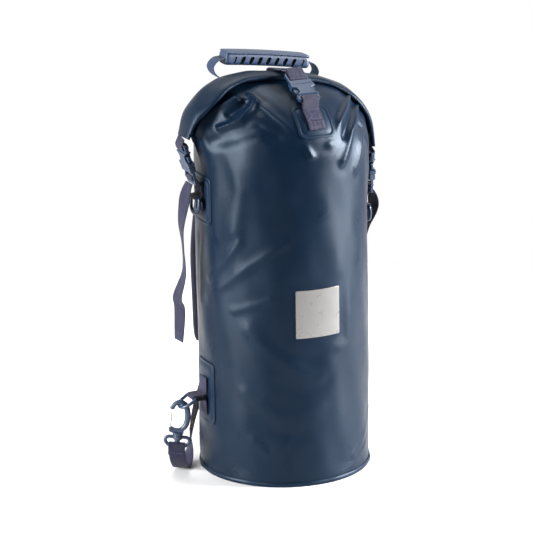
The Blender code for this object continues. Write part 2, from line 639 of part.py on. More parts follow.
def lower_hook(side, degrees, pad_foot_degrees):
    """A patch, tab and D-ring low on the side, and the strap's snap hook clipped to the ring."""
    angle = math.radians(degrees)
    label = f"{side}_lower"
    near = radial(angle)
    out = (near(1, 0) - near(0, 0)).normalized()
    tangent = Vector((-out.y, out.x, 0))
    up = Vector((0, 0, 1))
    patch(f"{label}_patch", on_wall(angle), 0.1265, PATCH_WIDTH, 0.097, LIFT, PATCH_THICKNESS, "weld")
    ring_out, ring_z, droop = 0.021, 0.120, math.radians(32)
    fold_tab(f"{label}_ring_tab", near, ring_out, ring_z, 0.149, 0.0925, off=off_wall())
    bar = near(ring_out, ring_z)
    bow = out * math.cos(droop) - up * math.sin(droop)
    d_ring(f"{label}_d_ring", frame_at(bar, tangent, -bow))
    lean = (up - out * 0.10).normalized()
    foot = bar + bow * 0.024 - lean * 0.0600
    place = frame_at(foot, tangent * 0.4067 - out * 0.9135, lean)
    snap_hook(f"{side}_strap", place)

    # The strap: folded round the eye's bar, down to the ground, then round behind to the pad
    hook_across = place.to_3x3() @ Vector((1, 0, 0))
    fold = [(-0.0160, -0.0021), (-0.0060, -0.0020), (-0.0010, -0.0037), (0.0028, -0.0030)]
    fold += [(0.0040, 0.0), (0.0028, 0.0030), (-0.0010, 0.0037), (-0.0060, 0.0018)]
    points = [place @ Vector((0, y, z)) for y, z in fold]
    behind = 1 if side == "left" else -1
    ground_across = -out * 0.75 + tangent * 0.6 * behind
    route = [(0.03, 0.1710, 0.018), (0.11, 0.1600, 0.0034), (0.24, 0.1475, 0.0160), (0.42, 0.1430, 0.036)]
    route += [(0.64, 0.1440, 0.060), (0.86, 0.1500, 0.084), (0.985, 0.1545, 0.107)]
    route += [(1.0, STRAP_FOOT_RADIUS, 0.1255)]
    for share, radius, z in route:
        points.append(polar(radius, degrees + (pad_foot_degrees - degrees) * share, z))
    line = smooth_line(points, 2)
    acrosses = []
    for i, (point, along) in enumerate(zip(line, tangents(line))):
        on_edge = along.cross(Vector((point.x, point.y, 0)).normalized()) * behind
        ground, edge = 2 * (len(fold) + 1), 2 * (len(fold) + 3)
        if i <= ground:
            acrosses.append(hook_across.lerp(ground_across, max(0, i - 2 * len(fold) + 2) / 4))
        else:
            acrosses.append(ground_across.lerp(on_edge, min(1, (i - ground) / (edge - ground))))
    ribbon(f"{side}_strap_webbing", line, acrosses)


def handle():
    """The moulded grip on its webbing, standing on two sewn anchors behind the rolled mouth."""
    along = Vector((1, 0, TOP_SLOPE)).normalized()
    up = Vector((-along.z, 0, along.x))
    middle = Vector(HANDLE_MIDDLE)
    place = frame_at(middle, along, up)
    outline = [(-x, y) for x, y in reversed(HANDLE_HALF[1:])] + HANDLE_HALF
    line = smooth_line([place @ Vector((x, y, 0)) for x, y in outline], 3)
    across = Vector((0, 1, 0))
    ribbon("handle_webbing", line, [across] * len(line), origin=middle)
    rings = []
    for share in (-1, -0.9, -0.6, -0.3, 0, 0.3, 0.6, 0.9, 1):
        x = share * GRIP_HALF
        y = 0.0320 - 0.0014 * share**2
        size = 0.86 if abs(share) == 1 else 1.0
        ring = []
        for i in range(16):
            a = math.pi * i / 8
            wide = 0.0165 * math.copysign(abs(math.cos(a)) ** 0.6, math.cos(a))
            tall = 0.0110 * math.copysign(abs(math.sin(a)) ** 0.6, math.sin(a))
            ring.append(place @ Vector((x, y + tall * size, wide * size)))
        rings.append(ring)
    grip = rings_solid("handle_grip", rings, "rubber", origin=middle)
    slot = []
    corners = [(-0.0018, -0.0132), (-0.0018, 0.0132), (0.0018, 0.0132), (0.0018, -0.0132)]
    for share in (-1.1, -0.6, 0, 0.6, 1.1):
        x = share * GRIP_HALF
        y = 0.0320 - 0.0014 * share**2
        slot.append([place @ Vector((x, y + dy, z)) for dy, z in corners])
    boolean(grip, "DIFFERENCE", rings_solid("grip_slot", slot, None, helper=True))
    for side, sign in (("left", -1), ("right", 1)):
        anchor = on_shoulder(HANDLE_MIDDLE[0] + sign * HANDLE_ANCHOR_REACH, 1)
        name = f"handle_anchor_{side}"
        patch(name, anchor, 0.088, 0.034, 0.040, LIFT, 0.0022, "webbing", rows=4, corner=0.004)


def shoulder_strap(side):
    """A padded strap down the back, hanging from the shared patch, and its strap adjuster."""
    sign = -1 if side == "left" else 1
    degrees = [d if sign > 0 else 180 - d for _, d, _ in PAD_LINE]
    points = [polar(r, d, z) for (r, _, z), d in zip(PAD_LINE, degrees)]
    line = smooth_line(points, 3)
    rings = []
    for i, (point, along) in enumerate(zip(line, tangents(line))):
        here = math.atan2(point.y, point.x)
        width = Vector((-math.sin(here), math.cos(here), 0))
        face = width.cross(along).normalized()
        end = min(i, len(line) - 1 - i)
        size = (0.80, 0.95, 1.0)[min(end, 2)]
        ring = []
        for k in range(12):
            a = math.pi * k / 6
            w = PAD_HALF_WIDTH * size * math.copysign(abs(math.cos(a)) ** 0.7, math.cos(a))
            t = PAD_HALF_THICKNESS * size * math.sin(a)
            ring.append(point + width * w + face * t)
        rings.append(ring)
    rings_solid(f"{side}_shoulder_pad", rings, "padding")
    foot = polar(STRAP_FOOT_RADIUS, degrees[-1], 0.1390)
    out = polar(1, degrees[-1], 0)
    place = frame_at(foot, Vector((-out.y, out.x, 0)), Vector((0, 0, 1)))
    outline = mirrored([(0.0165, -0.0120), (0.0170, 0.0100), (0.0140, 0.0150)])
    adjuster = plate(f"{side}_strap_adjuster", outline, -0.0022, 0.0022, place, "plastic")
    for low in (-0.0088, 0.0):
        across = (-SLOT_HALF, SLOT_HALF)
        cut = block(f"{side}_adjuster_slot_{low}", across, (low, low + SLOT), (-0.01, 0.01), place)
        boolean(adjuster, "DIFFERENCE", cut)


clear_scene()
bag_shell()
base()
roll()
front_closure()
handle()
side_closure("left", (-0.157, 0.000, 0.506), (-0.1405, 0.000, 0.447), 0, LEFT_TAIL)
side_closure("right", (0.1425, 0.000, 0.4632), (0.1405, 0.000, 0.4042), 0.044, RIGHT_TAIL)
lower_hook("left", 180, 114)
lower_hook("right", 26, 66)
back_wall = on_wall(math.pi / 2)
patch("shoulder_anchor", back_wall, 0.456, 0.150, 0.036, LIFT, PATCH_THICKNESS, "weld", columns=14)
for strap_side in ("left", "right"):
    shoulder_strap(strap_side)
patch("back_seam_tape", back_wall, 0.220, 0.022, 0.420, LIFT, 0.0006, "weld", corner=0.003)
patch("front_label", on_wall(-math.pi / 2), 0.265, 0.070, 0.072, LIFT, 0.0004, "label", corner=0.0015)
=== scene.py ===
"""Looks of a roll-top dry bag: coated fabric, webbing, moulded hardware, handle and shoulder pads.

Metres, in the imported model's frame: +Z up, the front faces -Y, and left is -X. The routes and outlines
repeat the CAD's, so each piece stands where its solid does.
"""

import json
import math

import bmesh
import bpy
import numpy as np
from mathutils import Matrix, Vector

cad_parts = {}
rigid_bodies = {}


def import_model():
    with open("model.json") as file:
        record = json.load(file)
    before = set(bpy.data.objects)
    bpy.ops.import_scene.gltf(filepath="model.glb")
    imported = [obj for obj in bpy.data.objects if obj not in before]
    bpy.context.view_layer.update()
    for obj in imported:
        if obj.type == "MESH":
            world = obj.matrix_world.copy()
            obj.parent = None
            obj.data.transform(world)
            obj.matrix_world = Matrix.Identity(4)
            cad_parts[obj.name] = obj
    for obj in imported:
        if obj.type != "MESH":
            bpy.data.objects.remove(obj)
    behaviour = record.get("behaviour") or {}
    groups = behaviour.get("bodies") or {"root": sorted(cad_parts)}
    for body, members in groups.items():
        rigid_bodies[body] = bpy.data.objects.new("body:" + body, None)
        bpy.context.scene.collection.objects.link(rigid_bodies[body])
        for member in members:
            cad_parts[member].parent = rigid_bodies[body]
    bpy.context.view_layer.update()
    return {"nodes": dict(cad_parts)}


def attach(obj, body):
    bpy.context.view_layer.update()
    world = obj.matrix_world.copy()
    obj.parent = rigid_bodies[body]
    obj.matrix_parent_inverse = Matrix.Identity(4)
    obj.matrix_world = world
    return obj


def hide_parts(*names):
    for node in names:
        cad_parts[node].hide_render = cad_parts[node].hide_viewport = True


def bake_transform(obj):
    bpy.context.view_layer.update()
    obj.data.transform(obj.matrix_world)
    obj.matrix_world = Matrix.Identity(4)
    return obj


for old in list(bpy.data.objects):
    bpy.data.objects.remove(old, do_unlink=True)
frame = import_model()

# Sizes shared with the solids
BODY_RADIUS = 0.128
BASE_THICKNESS = 0.0025
SHOULDER_SIDE_Z = 0.462
SHOULDER_FRONT_Z = 0.490
ROLL_Y = -0.007
ROLL_HALF_DEPTH = 0.022
ROLL_HALF_THICKNESS = 0.006
TOP_SLOPE = -0.14
WEBBING = 0.025
WEB_THICKNESS = 0.0016
PATCH_WIDTH = 0.058
PATCH_LIFT = 0.0004
PATCH_THICKNESS = 0.0012
FRONT_X = 0.006
FRONT_TILT = 27
MOUTH_HALF_GAP = 0.0035
GRIP_HALF = 0.0675
GRIP_RISE = 0.0320
GRIP_SAG = 0.0014
RECESSES = 9
RECESS_PITCH = 0.0136
PAD_HALF_WIDTH = 0.031
PAD_STITCHES = 0.0262
HANDLE_MIDDLE = Vector((-0.007, 0.0500, 0.5765))
HANDLE_ANCHOR_REACH = 0.077
D_ROD = 0.0022
STRAP_FOOT_RADIUS = 0.1553
OFF_WALL = 0.0026 + 0.0004
ROLL_LEFT = [(0, 0.5935), (-0.05, 0.591), (-0.09, 0.581), (-0.123, 0.561), (-0.145, 0.532), (-0.157, 0.497)]
ROLL_RIGHT = [(0, 0.5935), (0.05, 0.591), (0.09, 0.581), (0.119, 0.561), (0.1340, 0.532), (0.1405, 0.4947)]
LADDER_PATH = [(0.0345, 0.0066), (0.0266, 0.0062), (0.0172, 0.0037), (0.0142, 0.0030), (0.0133, 0.0)]
LADDER_PATH += [(0.0142, -0.0030), (0.0172, -0.0037), (0.0202, -0.0030), (0.0212, 0.0)]
LADDER_PATH += [(0.0224, 0.0034), (0.0270, 0.0040)]
SIDE_LADDER_PATH = [(0.0310, -0.0046), (0.0266, -0.0039), (0.0224, -0.0034), (0.0212, 0.0)]
SIDE_LADDER_PATH += [(0.0202, 0.0030), (0.0172, 0.0037), (0.0144, 0.0028)]
TAIL_PIVOT = (0, 0.0262, 0.0054)
STITCH_SPAN = (-0.0105, 0, 0.0105)
HOOK_LINE = [(0.0035, 0.0235), (0.0098, 0.0300), (0.0126, 0.0400), (0.0124, 0.0510)]
HOOK_LINE += [(0.0090, 0.0620), (0.0010, 0.0672), (-0.0070, 0.0640), (-0.0108, 0.0575)]
HANDLE_HALF = [(0.0, 0.0320), (0.034, 0.0316), (0.0685, 0.0304), (0.0795, 0.0262)]
HANDLE_HALF += [(0.0850, 0.0170), (0.0815, 0.0085), (0.0745, 0.0030)]
PAD_LINE = [(0.1380, 70, 0.462), (0.1450, 70, 0.435), (0.1590, 70, 0.370)]
PAD_LINE += [(0.1660, 69, 0.300), (0.1620, 68, 0.220), (0.1560, 66, 0.160)]
LEFT_TAIL = [(-0.1510, 0.000, 0.437), (-0.1550, 0.001, 0.4185), (-0.1590, 0.004, 0.384)]
LEFT_TAIL += [(-0.1570, 0.004, 0.352), (-0.1560, 0.004, 0.312), (-0.1640, 0.012, 0.2735)]
LEFT_TAIL += [(-0.1610, 0.012, 0.2535), (-0.1635, 0.012, 0.206)]
RIGHT_TAIL = [(0.1500, 0.000, 0.393), (0.1515, 0.004, 0.375), (0.1490, 0.018, 0.345)]
RIGHT_TAIL += [(0.1440, 0.026, 0.300), (0.1420, 0.028, 0.250), (0.1425, 0.029, 0.200)]
RIGHT_TAIL += [(0.1430, 0.030, 0.166)]

# Stage and camera: the lens reaches so many times the picture's width
FLOOR_RADIUS = 1.05
FLOOR_WHITE = (0.64, 0.64, 0.64)
SENSOR_WIDTH = 36
CAMERA_REACH = 2755 / 533

# Base colours, linear
NAVY = (0.0011, 0.0052, 0.0135)
NAVY_LIGHT = (0.0016, 0.0066, 0.0170)
WEB_BLUE = (0.0090, 0.0090, 0.0270)
STITCH_BLUE = (0.035, 0.045, 0.110)
HARDWARE_BLUE = (0.0050, 0.0170, 0.0420)
GRIP_BLUE = (0.0065, 0.0190, 0.0500)
SILVER = (0.135, 0.132, 0.129)
STEEL = (0.17, 0.155, 0.130)


# ---------------------------------------------------------------- materials


class Shader:
    """A material and short ways to add nodes to it."""

    def __init__(self, name, colour, roughness, **more):
        self.material = bpy.data.materials.new(name)
        self.material.use_nodes = True
        self.tree = self.material.node_tree
        self.principled = self.tree.nodes["Principled BSDF"]
        settings = {"Base Color": (*colour, 1.0), "Roughness": roughness, **more}
        for socket, value in settings.items():
            self.principled.inputs[socket].default_value = value
        self.object_place = self.node("TexCoord").outputs["Object"]

    def node(self, kind, inputs=None, **settings):
        made = self.tree.nodes.new("ShaderNode" + kind)
        for key, value in settings.items():
            setattr(made, key, value)
        for key, value in (inputs or {}).items():
            if isinstance(value, bpy.types.NodeSocket):
                self.tree.links.new(value, made.inputs[key])
            else:
                made.inputs[key].default_value = value
        return made

    def math(self, operation, a, b=0.0, c=0.0):
        return self.node("Math", {0: a, 1: b, 2: c}, operation=operation).outputs[0]

    def noise(self, scale, detail=3.0):
        inputs = {"Vector": self.object_place, "Scale": scale, "Detail": detail}
        return self.node("TexNoise", inputs).outputs["Fac"]

    def spread(self, value, low, high):
        """The value, from 0 to 1, mapped to low..high."""
        limits = {"Value": value, "To Min": low, "To Max": high, "From Min": 0.3, "From Max": 0.7}
        return self.node("MapRange", limits).outputs["Result"]

    def colours(self, factor, colour, darker, lighter):
        """Base colour between two shares of one colour, as the factor goes from 0 to 1."""
        first, second = ((*(share * c for c in colour), 1.0) for share in (darker, lighter))
        mixed = self.node("Mix", {0: factor, 6: first, 7: second}, data_type="RGBA")
        self.tree.links.new(mixed.outputs[2], self.principled.inputs["Base Color"])

    def roughness(self, value):
        self.tree.links.new(value, self.principled.inputs["Roughness"])

    def bumps(self, *layers):
        """Each layer is (height, distance in metres)."""
        normal = None
        for height, distance in layers:
            inputs = {"Height": height, "Distance": distance, "Strength": 1.0}
            if normal is not None:
                inputs["Normal"] = normal
            normal = self.node("Bump", inputs).outputs["Normal"]
        self.tree.links.new(normal, self.principled.inputs["Normal"])

    def across(self):
        """The UV map's two coordinates, in metres on the piece."""
        split = self.node("SeparateXYZ", {0: self.node("UVMap").outputs["UV"]})
        return split.outputs["X"], split.outputs["Y"]

    def wave(self, value, pitch, shift=0.0):
        return self.math("SINE", self.math("MULTIPLY_ADD", value, 2 * math.pi / pitch, shift))


def coated_fabric(name, colour, roughness=0.33, weave=0.00007):
    """PVC-coated polyester: the scrim's grid shows faintly through a satin skin."""
    gloss = {"Specular IOR Level": 0.17, "Specular Tint": (0.66, 0.82, 1.0, 1.0)}
    made = Shader(name, colour, roughness, **gloss)
    u, v = made.across()
    grid = made.math("MULTIPLY", made.wave(u, 0.0021), made.wave(v, 0.0021))
    made.colours(made.noise(11.0, 4.0), colour, 0.86, 1.28)
    made.roughness(made.spread(made.noise(26.0, 5.0), roughness - 0.06, roughness + 0.08))
    made.bumps((made.noise(240.0, 1.0), 0.00003), (grid, weave))
    return made.material


def woven(name, colour, pitch=0.0016):
    """Nylon webbing: chevrons across its width, and a ribbed surface."""
    sheen = {"Sheen Weight": 0.06, "Sheen Roughness": 0.4, "Specular IOR Level": 0.22}
    made = Shader(name, colour, 0.62, **sheen)
    u, v = made.across()
    zigzag = made.math("PINGPONG", v, 2 * pitch)
    rows = made.wave(made.math("ADD", u, zigzag), pitch * 0.75)
    ribs = made.wave(v, pitch * 0.5)
    height = made.math("ADD", rows, made.math("MULTIPLY", ribs, 0.5))
    # Painted shade: the base colour is darker in the chevrons' grooves and lighter on their raised rows,
    # following the bump's rows.
    painted_relief_shade = made.math("MULTIPLY_ADD", rows, 0.25, 0.5)
    made.colours(painted_relief_shade, colour, 0.72, 1.35)
    made.roughness(made.spread(made.noise(60.0), 0.55, 0.72))
    made.bumps((made.noise(900.0, 2.0), 0.00005), (height, 0.00012))
    return made.material


def moulded_plastic(name, colour, roughness, grain=0.00003, **more):
    made = Shader(name, colour, roughness, **more)
    made.colours(made.noise(45.0, 4.0), colour, 0.88, 1.18)
    made.roughness(made.spread(made.noise(80.0, 4.0), roughness - 0.06, roughness + 0.08))
    made.bumps((made.noise(1400.0, 2.0), grain))
    return made.material


def mesh_fabric(name, colour):
    """The pads' spacer mesh: small round holes in offset rows."""
    made = Shader(name, colour, 0.8, **{"Sheen Weight": 0.3, "Specular IOR Level": 0.3})
    u, v = made.across()
    hole = made.math("MULTIPLY", made.wave(u, 0.0030), made.wave(v, 0.0026))
    # Painted shade: the base colour is darker where the mesh sinks into its holes and lighter on the raised
    # cells, following the bump.
    painted_relief_shade = made.math("MULTIPLY_ADD", hole, 0.5, 0.5)
    made.colours(painted_relief_shade, colour, 0.45, 1.3)
    made.bumps((made.noise(700.0), 0.00006), (hole, 0.0003))
    return made.material


def silver_film(name):
    made = Shader(name, SILVER, 0.30, **{"Metallic": 0.15})
    made.colours(made.noise(18.0, 5.0), SILVER, 0.9, 1.12)
    made.roughness(made.spread(made.noise(70.0, 5.0), 0.24, 0.38))
    made.bumps((made.noise(60.0, 1.0), 0.00004))
    return made.material


COATED = coated_fabric("coated", NAVY)
WELD = coated_fabric("weld", NAVY_LIGHT, 0.40, 0.00005)
WEB = woven("webbing", WEB_BLUE)
HANDLE_WEB = woven("handle_webbing", GRIP_BLUE)
THREAD = moulded_plastic("thread", STITCH_BLUE, 0.6)
PLASTIC = moulded_plastic("plastic", HARDWARE_BLUE, 0.36)
RUBBER = moulded_plastic("rubber", GRIP_BLUE, 0.48, 0.00005)
PADDING = mesh_fabric("padding", WEB_BLUE)
LABEL = silver_film("label")
WIRE = moulded_plastic("wire", STEEL, 0.38, 0.00001, **{"Metallic": 0.3})
STIFF = moulded_plastic("stiffener", (0.02, 0.02, 0.025), 0.5)


# ---------------------------------------------------------------- mesh building


def linked(made):
    bpy.context.scene.collection.objects.link(made)
    return made


def mesh_object(name, points, faces):
    mesh = bpy.data.meshes.new(name)
    mesh.from_pydata([tuple(p) for p in points], [], faces)
    return linked(bpy.data.objects.new(name, mesh))


def face_outwards(mesh):
    work = bmesh.new()
    work.from_mesh(mesh)
    bmesh.ops.recalc_face_normals(work, faces=work.faces)
    work.to_mesh(mesh)
    work.free()


def piece(name, points, faces, look, body, nodes=(), uv=None):
    """A smooth mesh object that rides on a body, and stands for the CAD nodes named."""
    made = mesh_object(name, points, faces)
    mesh = made.data
    if uv is not None:
        layer = mesh.uv_layers.new(name="UVMap")
        corners = np.empty(len(mesh.loops), np.int32)
        mesh.loops.foreach_get("vertex_index", corners)
        layer.data.foreach_set("uv", np.asarray(uv, np.float32)[corners].ravel())
    face_outwards(mesh)
    return dress(made, look, body, nodes)


def finished(made, look, sharp_degrees=50):
    """Gives the object its material, and smooth shading up to an angle."""
    made.data.materials.clear()
    made.data.materials.append(look)
    made.data.shade_smooth()
    made.data.set_sharp_from_angle(angle=math.radians(sharp_degrees))


def dress(made, look, body, nodes=()):
    finished(made, look)
    if body:
        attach(made, body)
    if nodes:
        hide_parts(*nodes)
    return made


def settle(made):
    """The mesh as its modifiers leave it, with no modifier left."""
    graph = bpy.context.evaluated_depsgraph_get()
    mesh = bpy.data.meshes.new_from_object(made.evaluated_get(graph))
    made.modifiers.clear()
    made.data = mesh
    return made


def loop_faces(rings, count, closed=False):
    """Quads between rows of equal rings, with caps at the ends unless the rings close on themselves."""
    faces = []
    for r in range(rings if closed else rings - 1):
        s = (r + 1) % rings
        for i in range(count):
            j = (i + 1) % count
            faces.append((r * count + i, r * count + j, s * count + j, s * count + i))
    if not closed:
        faces += [tuple(range(count)), tuple((rings - 1) * count + i for i in range(count))]
    return faces


def smooth_line(points, steps):
    """Points on a Catmull-Rom curve through the given points."""
    points = [Vector(p) for p in points]
    ends = [2 * points[0] - points[1]] + points + [2 * points[-1] - points[-2]]
    found = []
    for i in range(1, len(ends) - 2):
        a, b, c, d = ends[i - 1 : i + 3]
        for k in range(steps):
            t = k / steps
            second = 2 * a - 5 * b + 4 * c - d
            third = 3 * b - a - 3 * c + d
            found.append(0.5 * (2 * b + (c - a) * t + second * t**2 + third * t**3))
    return found + [points[-1]]


def tangents(line):
    last = len(line) - 1
    return [(line[min(i + 1, last)] - line[max(i - 1, 0)]).normalized() for i in range(len(line))]


def tube(points, radius, closed=False, sides=14):
    """(points, faces) of a round rod along a line; radius is a number or one for each point."""
    count = len(points)
    radii = radius if isinstance(radius, list) else [radius] * count
    rings = []
    side = None
    for k in range(count):
        before = points[k - 1] if closed or k else points[k]
        after = points[(k + 1) % count] if closed or k < count - 1 else points[k]
        along = (after - before).normalized()
        if side is None:
            side = along.orthogonal()
        side = (side - along * side.dot(along)).normalized()
        other = along.cross(side)
        for i in range(sides):
            a = 2 * math.pi * i / sides
            rings.append(points[k] + side * radii[k] * math.cos(a) + other * radii[k] * math.sin(a))
    return rings, loop_faces(count, sides, closed)


def joined(*parts):
    """Several (points, faces) as one."""
    points, faces = [], []
    for some_points, some_faces in parts:
        start = len(points)
        points += list(some_points)
        faces += [tuple(start + i for i in face) for face in some_faces]
    return points, faces


def solid_of(node):
    """(points, faces) of a CAD node."""
    mesh = frame["nodes"][node].data
    return [v.co.copy() for v in mesh.vertices], [tuple(p.vertices) for p in mesh.polygons]


def moulded(name, parts, look, body, nodes, voxel=0.0005, rounds=5, keep=0.4):
    """Overlapping shapes fused and softened, as a moulding's edges are."""
    made = mesh_object(name, *joined(*parts))
    remesh = made.modifiers.new("fuse", "REMESH")
    remesh.mode = "VOXEL"
    remesh.voxel_size = voxel
    soften = made.modifiers.new("soften", "SMOOTH")
    soften.factor = 0.5
    soften.iterations = rounds
    fewer = made.modifiers.new("fewer", "DECIMATE")
    fewer.ratio = keep
    settle(made)
    return dress(made, look, body, nodes)


def web_section(width, thickness):
    """Half-open outline of webbing: (across, off the middle), with rounded selvedges."""
    w, t = width / 2, thickness / 2
    flat = [(w - t) * k for k in (1, 0.6, 0.2, -0.2, -0.6, -1)]
    top = [(a, t * (1 - 0.06 * abs(a) / w)) for a in flat]
    upper = [(w - 0.3 * t, 0.75 * t)] + top + [(0.3 * t - w, 0.75 * t)]
    return upper + [(-w, 0)] + [(a, -b) for a, b in reversed(upper)] + [(w, 0)]


def ribbon(name, line, acrosses, body, nodes=(), look=WEB):
    """Webbing along a line, its width running in the directions given."""
    section = web_section(WEBBING, WEB_THICKNESS)
    points, uv = [], []
    gone = 0.0
    for k, (point, along, across) in enumerate(zip(line, tangents(line), acrosses)):
        gone += (line[k] - line[k - 1]).length if k else 0.0
        face = Vector(across).cross(along).normalized()
        side = along.cross(face).normalized()
        for a, b in section:
            points.append(point + side * a + face * b)
            uv.append((gone, a))
    faces = loop_faces(len(line), len(section))
    return piece(name, points, faces, look, body, nodes, uv)


def stitches(name, rows, body, pitch=0.0030, length=0.0021, radius=0.00038):
    """Short thread bars along each row of points."""
    parts = []
    for row in rows:
        row = [Vector(p) for p in row]
        for a, b in zip(row, row[1:]):
            count = max(1, round((b - a).length / pitch))
            for i in range(count):
                middle = a.lerp(b, (i + 0.5) / count)
                half = (b - a).normalized() * length / 2
                bar = [middle - half, middle - half * 0.5, middle + half * 0.5, middle + half]
                parts.append(tube(bar, [radius * 0.35, radius, radius, radius * 0.35], sides=6))
    points, faces = joined(*parts)
    return piece(name, points, faces, THREAD, body)


def frame_at(origin, x_axis, y_axis):
    y = Vector(y_axis).normalized()
    z = Vector(x_axis).cross(y).normalized()
    x = y.cross(z)
    return Matrix.Translation(Vector(origin)) @ Matrix((x, y, z)).transposed().to_4x4()


def arc(cx, cy, radius, start, end, count):
    found = []
    for i in range(count + 1):
        angle = math.radians(start + (end - start) * i / count)
        found.append((cx + radius * math.cos(angle), cy + radius * math.sin(angle)))
    return found


def boxy(value, power):
    """A sine or cosine pushed outwards, which turns a circle into a rounded box."""
    return math.copysign(abs(value) ** power, value)


def in_plane(place, pairs):
    """Points of a place's own YZ plane."""
    return [place @ Vector((0, y, z)) for y, z in pairs]


def polar(radius, degrees, z):
    a = math.radians(degrees)
    return Vector((radius * math.cos(a), radius * math.sin(a), z))


# ---------------------------------------------------------------- the bag's surface


def roll_middle():
    """The rolled mouth's middle line from left to right, and the distance along it at each point."""
    full = smooth_line([(x, 0, z) for x, z in list(reversed(ROLL_LEFT[1:])) + ROLL_RIGHT], 8)
    lengths = [0.0]
    for a, b in zip(full, full[1:]):
        lengths.append(lengths[-1] + (b - a).length)
    return full, lengths


ROLL_POINTS, ROLL_LENGTHS = roll_middle()


def on_roll(share):
    """(middle, outward normal) at a share of the half length, from -1 at the left end to 1."""
    wanted = (share + 1) / 2 * ROLL_LENGTHS[-1]
    xs = [p.x for p in ROLL_POINTS]
    zs = [p.z for p in ROLL_POINTS]
    step = 0.004
    here = [np.interp(wanted + d, ROLL_LENGTHS, values) for values in (xs, zs) for d in (-step, 0, step)]
    along = Vector((here[2] - here[0], 0, here[5] - here[3])).normalized()
    return Vector((here[1], ROLL_Y, here[4])), Vector((-along.z, 0, along.x))


def sloped(point, weight=1.0):
    return Vector((point.x, point.y, point.z + TOP_SLOPE * point.x * weight))


COLUMNS = 360
WALL_ROWS = 130
SHOULDER_ROWS = 110


def meridian(angle):
    """The bag's plain outline at one angle, from the base up to the mouth."""
    side = abs(math.sin(angle))
    facing = 1 if math.sin(angle) > 0 else -1
    low = SHOULDER_SIDE_Z + (SHOULDER_FRONT_Z - SHOULDER_SIDE_Z) * side**2
    start = Vector((BODY_RADIUS * math.cos(angle), BODY_RADIUS * math.sin(angle), low))
    wrapped = abs(math.atan2(math.sin(angle), math.cos(angle)))
    centre, normal = on_roll((1 - 2 * wrapped / math.pi) * 0.95)
    end = centre - normal * 0.0035
    end.y += facing * MOUTH_HALF_GAP * min(1.0, 4 * side)
    first = start + Vector((0, 0, 0.012 + 0.046 * side))
    second = end + Vector((0, facing * 0.073 * side, -0.004 - 0.006 * side))
    second -= normal * 0.012 * (1 - side)
    rows = []
    for i in range(WALL_ROWS):
        rows.append(Vector((start.x, start.y, BASE_THICKNESS + (low - BASE_THICKNESS) * i / WALL_ROWS)))
    for i in range(SHOULDER_ROWS + 1):
        t = i / SHOULDER_ROWS
        point = start * (1 - t) ** 3 + first * 3 * t * (1 - t) ** 2
        point += second * 3 * t * t * (1 - t) + end * t**3
        rows.append(sloped(point, t * t))
    return rows


def damp(theta, height):
    """How freely the wall may crease at each place: little under the hardware and at its two ends."""
    free = np.clip((height - 0.006) / 0.02, 0, 1)
    for middle, half_width, low, high in (
        (180, 16, 0.07, 0.18), (180, 16, 0.375, 0.465), (26, 16, 0.07, 0.18), (0, 16, 0.335, 0.42),
        (-90, 19, 0.222, 0.308), (90, 40, 0.43, 0.485), (-88, 15, 0.520, 0.60), (90, 14, 0.530, 0.60),
        (58.7, 10, 0.540, 0.64), (127.6, 10, 0.540, 0.64),
    ):
        away = np.abs((theta - middle + 180) % 360 - 180) - half_width
        beside = np.maximum(low - height, height - high)
        outside = np.clip(np.maximum(away * math.radians(1) * BODY_RADIUS, beside) / 0.014, 0, 1)
        free = free * (0.10 + 0.90 * outside)
    return free


def fold(theta, height, line, width, rise, sharp=1.0):
    """A crease along a line of (degrees, height): a ridge with a shallow hollow beside it."""
    best = np.full_like(theta, 1e9)
    for (a, low), (b, high) in zip(line, line[1:]):
        x = np.radians((theta - a + 180) % 360 - 180) * BODY_RADIUS
        y = height - low
        dx = math.radians(b - a) * BODY_RADIUS
        dy = high - low
        t = np.clip((x * dx + y * dy) / (dx * dx + dy * dy), 0, 1)
        best = np.minimum(best, np.hypot(x - t * dx, y - t * dy))
    ridge = np.exp(-((best / width) ** (2 / sharp))) - 0.42 * np.exp(-((best / (2.3 * width)) ** 2))
    return rise * ridge


